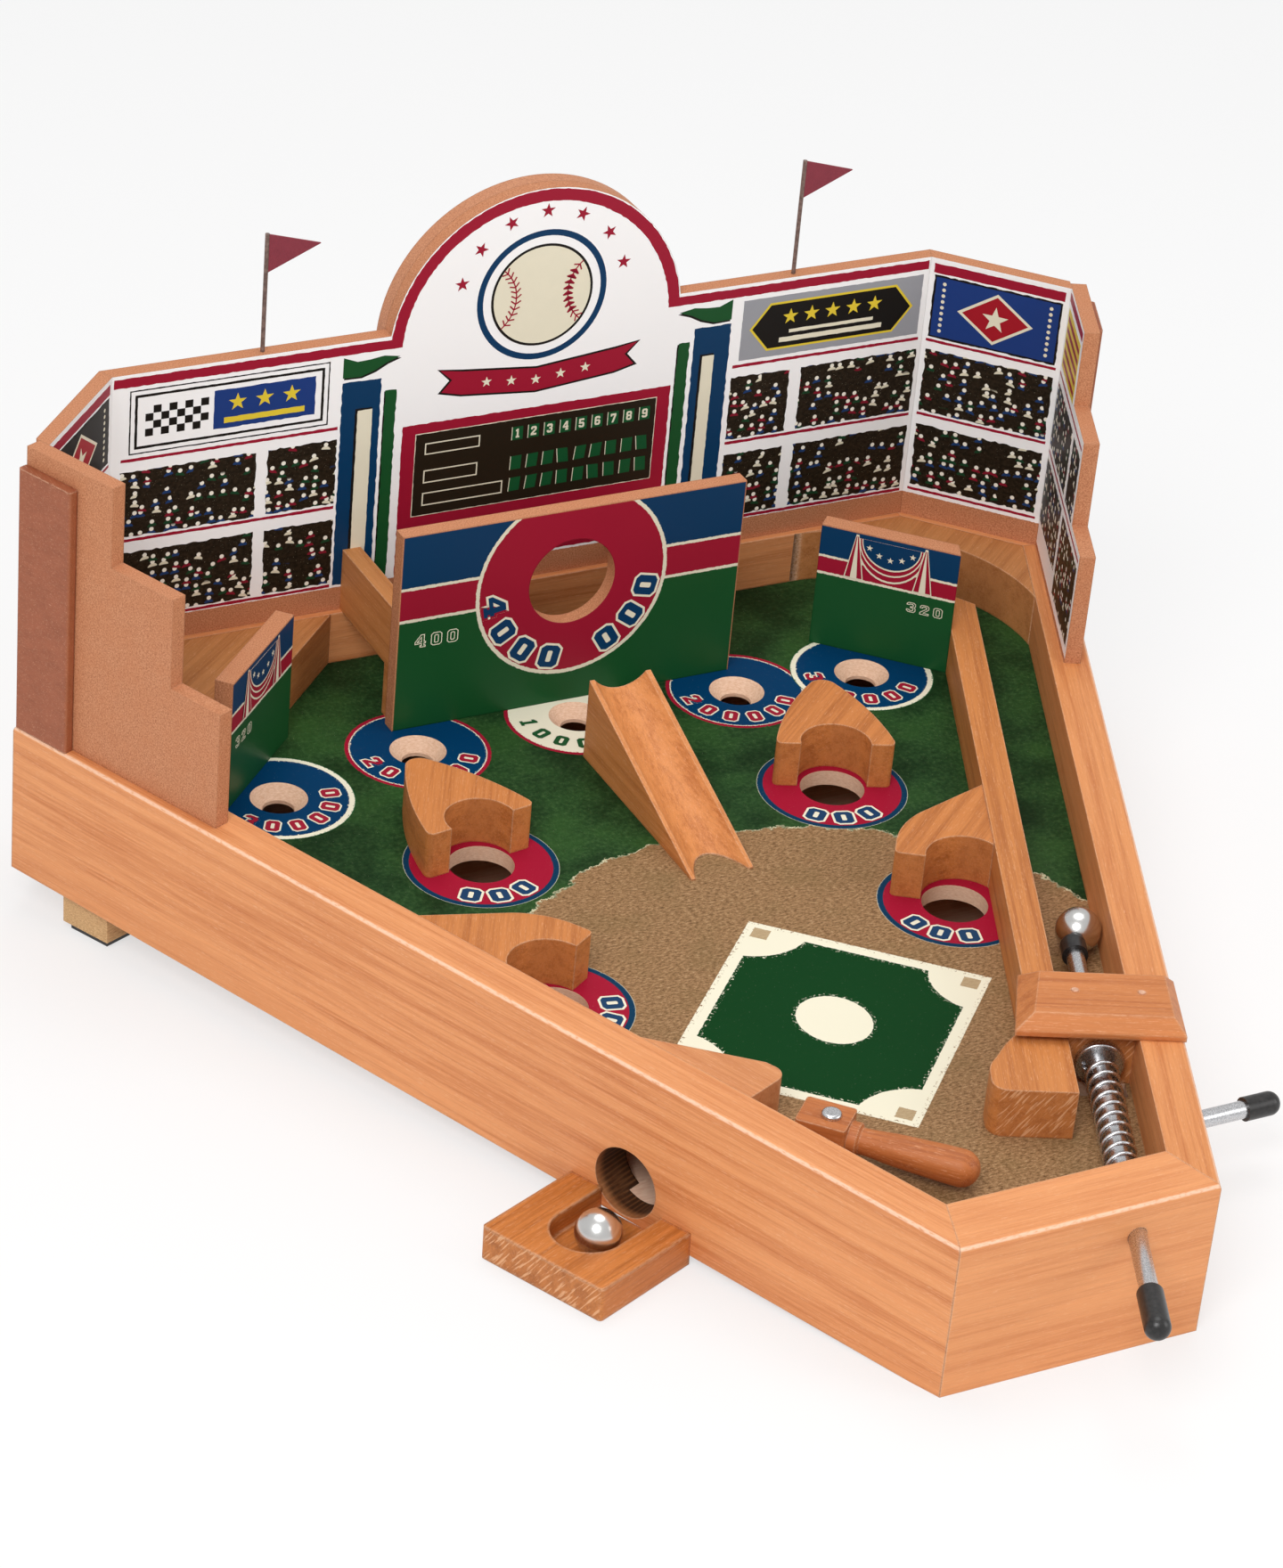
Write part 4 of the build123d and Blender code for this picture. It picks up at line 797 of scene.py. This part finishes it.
# The inks that most prints use.
crimson = ink_of("crimson", CRIMSON)
navy = ink_of("navy", NAVY)
green = ink_of("green", GREEN)
cream = ink_of("cream", CREAM)
black = ink_of("black", paint(22, 20, 18))

# The numerals round a hole: their middle and span in degrees.
disc_numerals = (
    ("single", "100000", HIT_HOLES["single"][0], -120, 130, green),
    ("double_left", "200000", HIT_HOLES["double"][0], -105, 138, crimson),
    ("double_right", "200000", HIT_HOLES["double"][1], -110, 138, crimson),
    ("triple_left", "300000", HIT_HOLES["triple"][0], -78, 138, crimson),
    ("triple_right", "300000", HIT_HOLES["triple"][1], -122, 138, crimson),
)
for label, marks, hole, middle, span, colour in disc_numerals:
    turns = spread(middle, span, 6)
    arc_numerals("numbers_" + label, DECK, marks, hole, 18.7, turns, 5.0, 6.6, colour, 0.6)
for i, (hole, middle) in enumerate(zip(HIT_HOLES["out"], (-96, -106, -42, -134))):
    turns = spread(middle, 58, 3)
    arc_numerals(f"numbers_out_{i + 1}", DECK, "000", hole, 20.0, turns, 6.8, 7.4, navy, 0.85)
turns = spread(223, 68, 4) + spread(324, 46, 3)
arc_numerals("numbers_home_run", HOME_RUN, "4000000", (0, 0), 31.2, turns, 8.0, 9.0, navy, 0.9)


def thin_numerals(name, face, marks, start, step, wide, tall, stroke):
    """A row of outlined numerals in cream, open inside."""
    loops = []
    for i, mark in enumerate(marks):
        spot = (start[0] + step * i, start[1])
        loops += numeral(mark, spot, wide, tall)
        loops += numeral(mark, spot, wide, tall, grow=-stroke)
    lay(name, face, 0, cream, loops)


thin_numerals("distance_middle", HOME_RUN, "400", (-59.6, -14.2), 6.4, 4.4, 5.4, 0.32)
thin_numerals("distance_right", BUNTING_RIGHT, "320", (37.6, 3.4), 5.2, 3.6, 4.2, 0.28)
thin_numerals("distance_left", BUNTING_LEFT, "320", (6.0, 3.4), 5.2, 3.6, 4.2, 0.28)


def bunting(side, face, middle):
    """A draped swag with five stars between two hanging tails."""
    drapes = (
        ("cream", cream, 13.8, 16.4),
        ("crimson", crimson, 13.2, 15.6),
        ("stripe", cream, 12.6, 13.6),
        ("band", crimson, 12.2, 12.9),
        ("edge", cream, 11.6, 11.2),
        ("field", navy, 11.2, 10.5),
    )
    for layer, (part, colour, half, sag) in enumerate(drapes, 1):
        hang = []
        for turn in range(0, 181, 10):
            angle = math.radians(turn)
            hang.append((middle + half * math.cos(angle), 27.6 - sag * math.sin(angle)))
        lay(f"swag_{part}_{side}", face, layer, colour, [hang])
    places = ((-8.4, 24.4), (-4.4, 22.0), (0, 21.0), (4.4, 22.0), (8.4, 24.4))
    lay(f"swag_stars_{side}", face, 7, cream, [star((middle + a, b), 1.35) for a, b in places])
    tails, stripes = [], []
    for way in (-1, 1):
        a = middle + way * 13.4
        tails.append([(a - 0.5, 29.0), (a + 0.5, 29.0), (a + 3.8, 10.2), (a - 3.8, 10.2)])
        stripes.append([(a - 0.4, 28.2), (a - 0.1, 28.2), (a - 1.3, 10.6), (a - 3.3, 10.6)])
        stripes.append([(a + 0.1, 28.2), (a + 0.4, 28.2), (a + 3.3, 10.6), (a + 1.3, 10.6)])
    lay(f"swag_tails_{side}", face, 8, cream, tails)
    lay(f"tail_stripes_{side}", face, 9, crimson, stripes)


bunting("right", BUNTING_RIGHT, 27.6)
bunting("left", BUNTING_LEFT, 26.4)


# The stadium: a crimson line under the top edge and round the arch.
ARCH = (0, 101.5)
line_outer = arc(ARCH, 58.4, 7.0, 173.0, 60)
line_inner = arc(ARCH, 53.8, 176.3, 3.7, 60)
line = [(164.2, 108.6)] + line_outer + [(-164.2, 108.6), (-164.2, 105.0)] + line_inner + [(164.2, 105.0)]
lay("top_line", MAIN, 0, crimson, [torn(line, 0.15)])
# The stands: their two rows of seats, and the lines under, between and over those.
row_heights = ((11.8, 38.4), (45.0, 71.3))
row_ends = ((-161, -77.6), (83.2, 163.2))
stand_ends = ((-161, -109), (-104.5, -77.6), (83.2, 108.3), (113.3, 163.0))
lines = [(a0, b, a1, b + 1.2, 0.12) for a0, a1 in row_ends for b in (9.9, 42.9, 75.3)]
panels("row_lines", MAIN, 0, crimson, *lines)
crowds = [(a0, b0, a1, b1, 0.35) for a0, a1 in stand_ends for b0, b1 in row_heights]
panels("crowd_main", MAIN, 0, crowd_print("crowd_main", 0), *crowds)
panels("columns", MAIN, 0, navy, (-76.5, 10.4, -61.2, 93.8), (65.8, 10.4, 81.0, 94.4))
panels("column_shades", MAIN, 1, black, (-71.0, 16.6, -64.4, 82.6, 0.1), (68.9, 16.6, 74.6, 83.2, 0.1))
panels("column_insets", MAIN, 2, cream, (-70.0, 16.8, -64.2, 81.8, 0.1), (69.9, 16.8, 74.8, 82.4, 0.1))
wave = [(0, 0), (5.5, -1.6), (10.5, -0.8), (16, 0.6), (22.2, 0.2), (17, -2.2), (12.5, -5.2), (7, -7.6)]
wave += [(0, -8.2)]
flags = []
for way, a, top in ((1, -76.5, 104.0), (-1, 80.8, 104.4)):
    flags.append([(a + way * x, top + y - 2.6 * x / 22) for x, y in wave])
lay("painted_flags", MAIN, 1, green, flags)
shades = [[(a + (0.5 if a < 0 else -0.5), b - 0.7) for a, b in flag] for flag in flags]
lay("flag_shades", MAIN, 0, black, shades)
panels("green_strips", MAIN, 1, green, (-59.4, 10.4, -55.0, 88.4), (59.4, 10.4, 64.0, 89.2))
panels("strip_shades", MAIN, 0, black, (-59.9, 10.4, -55.6, 88.0, 0.1), (58.9, 10.4, 63.4, 88.8, 0.1))


def scoreboard():
    """Nine columns of leaning tiles under a numbered row, and three empty slots beside them."""
    panels("scoreboard_frame", MAIN, 0, crimson, (-51.7, 10.4, 57.6, 72.2, 0.2))
    board = ink("scoreboard_black", STADIUM_BLACK, 0.4)
    panels("scoreboard_edge", MAIN, 1, cream, (-46.3, 33.9, 52.3, 68.3, 0.05))
    panels("scoreboard", MAIN, 2, board, (-46.0, 34.2, 52.0, 68.0, 0.1))
    chance = random.Random(5)
    tiles, edges, marks = [], [], []
    for column in range(9):
        a = -6.9 + column * 6.55
        for row, (low, high) in enumerate(((59.6, 65.0), (47.2, 52.9), (38.2, 43.9))):
            lean = chance.uniform(-0.7, 0.7) if row else 0.0
            foot, head = (a, low), (a + lean, high - lean * 0.3)
            tiles.append([foot, (a + 4.3, low + lean * 0.3), (a + 4.3 + lean, high), head])
            edges.append([(foot[0] - 0.3, foot[1]), foot, head, (head[0] - 0.3, head[1])])
        marks += numeral(str(column + 1), (a + 2.15, 62.3), 2.3, 3.7)
    lay("score_tiles", MAIN, 3, ink_of("tile_green", TILE_GREEN), tiles)
    lay("score_tile_edges", MAIN, 3, cream, edges)
    lay("score_numbers", MAIN, 4, cream, marks)
    slots = []
    for a0, b0, a1, b1 in ((-42.2, 59.2, -20.0, 64.0), (-42.2, 47.4, -20.4, 52.8), (-42.2, 38.0, -9.6, 43.4)):
        slots += [square(a0, b0, a1, b1), square(a0 + 0.5, b0 + 0.5, a1 - 0.5, b1 - 0.5)]
    lay("name_slots", MAIN, 3, cream, slots)


scoreboard()


def emblem():
    """A stitched ball in a wreath of stars over a plain ribbon."""
    ball = (1.0, 118.0)
    lay("emblem_ring", MAIN, 0, navy, [ring(ball, 26.0), ring(ball, 23.6)])
    lay("emblem_ball_edge", MAIN, 1, black, [ring(ball, 20.4)])
    lay("emblem_ball", MAIN, 2, cream, [ring(ball, 19.4)])
    seams, ticks = [], []
    for way in (-1, 1):
        hub = (ball[0] + way * 25.5, ball[1])
        middle = 180 if way > 0 else 0
        inner = arc(hub, 14.9, middle + 50, middle - 50, 20)
        seams.append(arc(hub, 15.4, middle - 50, middle + 50, 20) + inner)
        for i in range(11):
            turn = middle - 43 + 8.6 * i
            for lean in (-1, 1):
                a = Vector(at(hub, 15.1, turn))
                b = Vector(at(hub, 15.1 + lean * 2.0, turn + 5))
                side = Vector((b.y - a.y, a.x - b.x)).normalized() * 0.28
                ticks.append([tuple(a - side), tuple(b - side), tuple(b + side), tuple(a + side)])
    lay("emblem_seams", MAIN, 3, crimson, seams)
    lay("emblem_stitches", MAIN, 4, crimson, ticks)
    wreath = [star(at(ball, 33.5, t), 3.0, t) for t in range(15, 166, 25)]
    lay("emblem_stars", MAIN, 0, crimson, wreath)
    ribbon = [(-37, 84), (-29, 82), (1, 79), (33, 82), (41, 84), (37, 88.5), (42, 93), (33, 91.4), (1, 88.2)]
    ribbon += [(-29, 91.4), (-38, 93), (-33, 88.5)]
    lay("ribbon_edge", MAIN, 0, black, [swell(ribbon, 0.8)])
    lay("ribbon", MAIN, 1, crimson, [ribbon])
    stars = [star((1 + a, 83.6 + abs(a) * 0.1), 2.2) for a in (-20, -10, 0, 10, 20)]
    lay("ribbon_stars", MAIN, 2, cream, stars)


emblem()


def sign_left():
    """A checked sign in a black double border."""
    outer = (-158, 78, -81.6, 103.4, 0.1), (-157.5, 78.5, -82.1, 102.9, 0.05)
    inner = (-156, 80, -83.6, 101.4, 0.1), (-155, 81, -84.6, 100.4, 0.05)
    panels("sign_left_border", MAIN, 0, black, *outer, *inner)
    panels("sign_left_field", MAIN, 0, ink_of("blue", BLUE), (-126, 83.2, -87, 98.6, 0.15))
    stars = [star((-117 + 10.4 * i, 93.0), 3.6) for i in range(3)]
    bar = panel(-122, 85.2, -91, 87.4, 0.1)
    lay("sign_left_stars", MAIN, 1, ink_of("yellow", YELLOW), stars + [bar])
    checks = []
    for i in range(8):
        for j in range(i % 2, 4, 2):
            a, b = -152 + i * 3, 84.6 + j * 3
            checks.append(square(a, b, a + 3, b + 3))
    lay("sign_left_checks", MAIN, 0, black, checks)


sign_left()


def sign_right():
    """A grey sign with a black lozenge."""
    panels("sign_right_ground", MAIN, 0, ink_of("grey", GREY), (85.6, 78.0, 162.4, 103.0, 0.1))
    yellow = ink_of("yellow", YELLOW)
    lozenge = [(89, 90.4), (97, 80.6), (151, 80.6), (159, 90.4), (151, 100.4), (97, 100.4)]
    lay("lozenge_edge", MAIN, 1, yellow, [lozenge])
    lay("lozenge", MAIN, 2, black, [swell(lozenge, -0.9)])
    lay("lozenge_stars", MAIN, 3, yellow, [star((106 + 9 * i, 93.8), 3.4) for i in range(5)])
    panels("lozenge_bars", MAIN, 3, cream, (102, 83.4, 146, 85.4, 0.08), (106, 87.0, 142, 88.4, 0.08))


sign_right()


def angled_panel_print(side, face, flip):
    """Stands and a sign on a slanting board; flip is -1 where it runs to the left."""

    def across(a0, a1):
        return (a0, a1) if flip > 0 else (-a1, -a0)

    a0, a1 = across(1.6, 53.4)
    panels(f"panel_top_{side}", face, 0, crimson, (a0, 104.0, a1, 107.9, 0.12))
    lines = [(a0, b, a1, b + 1.1, 0.1) for b in (11.0, 43.6, 75.2)]
    panels(f"panel_lines_{side}", face, 0, crimson, *lines)
    crowd = crowd_print(f"crowd_panel_{side}", BEND if flip < 0 else -BEND)
    a0, a1 = across(2.2, 52.8)
    panels(f"panel_crowd_{side}", face, 0, crowd, (a0, 13.4, a1, 39.6, 0.35), (a0, 45.6, a1, 71.8, 0.35))
    panels(f"panel_sign_edge_{side}", face, 0, black, (a0, 77.2, a1, 103.2, 0.2))
    a0, a1 = across(3.0, 52.0)
    field = ink_of("blue", BLUE) if flip > 0 else black
    panels(f"panel_sign_{side}", face, 1, field, (a0, 78.0, a1, 102.4, 0.1))
    bulbs = [ring((flip * a, 80.4 + 2.45 * i), 0.75, 10) for a in (6.4, 48.6) for i in range(9)]
    lay(f"sign_bulbs_{side}", face, 2, cream, bulbs)
    middle = flip * 27.5
    diamond = [(middle, 79.6), (middle + 15, 90.2), (middle, 100.8), (middle - 15, 90.2)]
    lay(f"diamond_edge_{side}", face, 2, cream, [diamond])
    lay(f"diamond_{side}", face, 3, ink_of("sign_red", paint(168, 24, 40)), [swell(diamond, -1.1)])
    lay(f"diamond_star_{side}", face, 4, cream, [star((middle, 90.0), 5.4)])


angled_panel_print("right", PANEL_RIGHT, 1)
angled_panel_print("left", PANEL_LEFT, -1)


def wing_print(side, face, way):
    """Stands stepping down along a side board; way gives the sense of its long axis."""

    def along(s0, s1):
        return sorted((way * s0, way * s1))

    crowd = crowd_print(f"crowd_wing_{side}", LEFT if way > 0 else RIGHT + 180)
    seats, lines = [], []
    lower = (325.0, 366.0, 5.0, 38.4), (370.0, 411.5, 11.8, 38.4)
    upper = (348.5, 366.0, 44.5, 71.3), (370.0, 411.5, 44.5, 71.3)
    for s0, s1, b0, b1 in lower + upper:
        a0, a1 = along(s0, s1)
        seats.append((a0, b0, a1, b1, 0.3))
    panels(f"wing_crowd_{side}", face, 0, crowd, *seats)
    for s0, b, tall in ((324, 41.0, 1.2), (348, 74.6, 1.2), (377, 105.0, 3.4)):
        a0, a1 = along(s0, 411.5)
        lines.append((a0, b, a1, b + tall, 0.1))
    panels(f"wing_lines_{side}", face, 0, crimson, *lines)
    a0, a1 = along(378.5, 410.5)
    panels(f"wing_sign_{side}", face, 0, ink_of("yellow", YELLOW), (a0, 78.4, a1, 102.6, 0.15))
    bars = [(a0 + 1.5, 80.4 + 4.4 * i, a1 - 1.5, 82.4 + 4.4 * i, 0.1) for i in range(5)]
    panels(f"wing_sign_bars_{side}", face, 1, crimson, *bars)


wing_print("right", WING_RIGHT, -1)
wing_print("left", WING_LEFT, 1)


def table_top():
    """The table, which shows as an even pale ground to the camera and in mirrors."""
    bpy.ops.object.select_all(action="DESELECT")
    bpy.ops.mesh.primitive_plane_add(size=14, location=(0, 0, 0))
    top = bpy.context.object
    top.name = "table_top"
    pale = Finish("pale_table")
    pale.dress(Base_Color=(0.86, 0.86, 0.86, 1), Roughness=0.9)
    glow = pale.node("Emission")
    camera = pale.node("LightPath", out="Is Camera Ray")
    mirror = pale.node("LightPath", out="Is Glossy Ray")
    seen = camera.do("MAXIMUM", mirror) * 0.62
    mixed = pale.node("MixShader", None, {0: seen, 1: Tone(pale, pale.shader.outputs[0]), 2: glow})
    end = next(n for n in pale.tree.nodes if n.type == "OUTPUT_MATERIAL")
    pale.tree.links.new(mixed.socket, end.inputs[0])
    top.data.materials.append(pale.material)


table_top()


def soft_lamp(name, place, size, power):
    """A round lamp that shines on the middle of the game."""
    light = bpy.data.lights.new(name, "AREA")
    light.shape = "DISK"
    light.size = size
    light.energy = power
    lamp = new_object(name, light)
    lamp.location = place
    aim = Vector((0, 0.2, 0.05)) - Vector(place)
    lamp.rotation_euler = aim.to_track_quat("-Z", "Y").to_euler()


soft_lamp("key", (-1.3, -1.1, 1.9), 1.3, 34)
soft_lamp("fill", (1.7, -1.2, 1.1), 1.4, 12)
soft_lamp("top", (0.2, 0.6, 2.4), 1.6, 16)


def studio():
    """A white room: full to the camera, dimmer in mirrors, and dimmest as light."""
    sky = bpy.data.worlds.new("studio")
    sky.use_nodes = True
    add, link = sky.node_tree.nodes.new, sky.node_tree.links.new
    sky.node_tree.nodes.clear()
    room = add("ShaderNodeBackground")
    path = add("ShaderNodeLightPath")
    seen = add("ShaderNodeMapRange")
    mirrored = add("ShaderNodeMapRange")
    end = add("ShaderNodeOutputWorld")
    link(path.outputs["Is Glossy Ray"], mirrored.inputs[0])
    link(path.outputs["Is Camera Ray"], seen.inputs[0])
    mirrored.inputs[3].default_value = 0.5
    mirrored.inputs[4].default_value = 0.72
    seen.inputs[4].default_value = 1.0
    link(mirrored.outputs[0], seen.inputs[3])
    link(seen.outputs[0], room.inputs["Strength"])
    room.inputs["Color"].default_value = (1, 1, 1, 1)
    link(room.outputs[0], end.inputs[0])
    bpy.context.scene.world = sky


studio()


# The camera, solved in the level box: its turns, its place, and its focal length and frame in pixels.
AZIMUTH, ELEVATION, ROLL = (math.radians(v) for v in (-29.26, 31.74, 5.42))
CAMERA_PLACE = (-720.59, -974.57, 885.60)
FOCAL, FRAME_HEIGHT = 5382.95, 1760
SENSOR = 36.0


def photo_camera():
    flat = math.cos(ELEVATION)
    back = Vector((math.sin(AZIMUTH) * flat, -math.cos(AZIMUTH) * flat, math.sin(ELEVATION)))
    right = Vector((math.cos(AZIMUTH), math.sin(AZIMUTH), 0))
    up = back.cross(right)
    turned_right = math.cos(ROLL) * right + math.sin(ROLL) * up
    turned_up = -math.sin(ROLL) * right + math.cos(ROLL) * up
    tip = Matrix.Rotation(RAKE, 3, "X")
    axes = Matrix([tip @ v for v in (turned_right, turned_up, back)]).transposed().to_4x4()
    lens = bpy.data.cameras.new("photo_camera")
    lens.sensor_fit = "VERTICAL"
    lens.sensor_height = SENSOR
    lens.lens = FOCAL / FRAME_HEIGHT * SENSOR
    lens.clip_start = 0.01
    camera = new_object("photo_camera", lens)
    camera.matrix_world = Matrix.Translation(BOX_TO_TABLE @ Vector(CAMERA_PLACE)) @ axes
    bpy.context.scene.camera = camera


photo_camera()
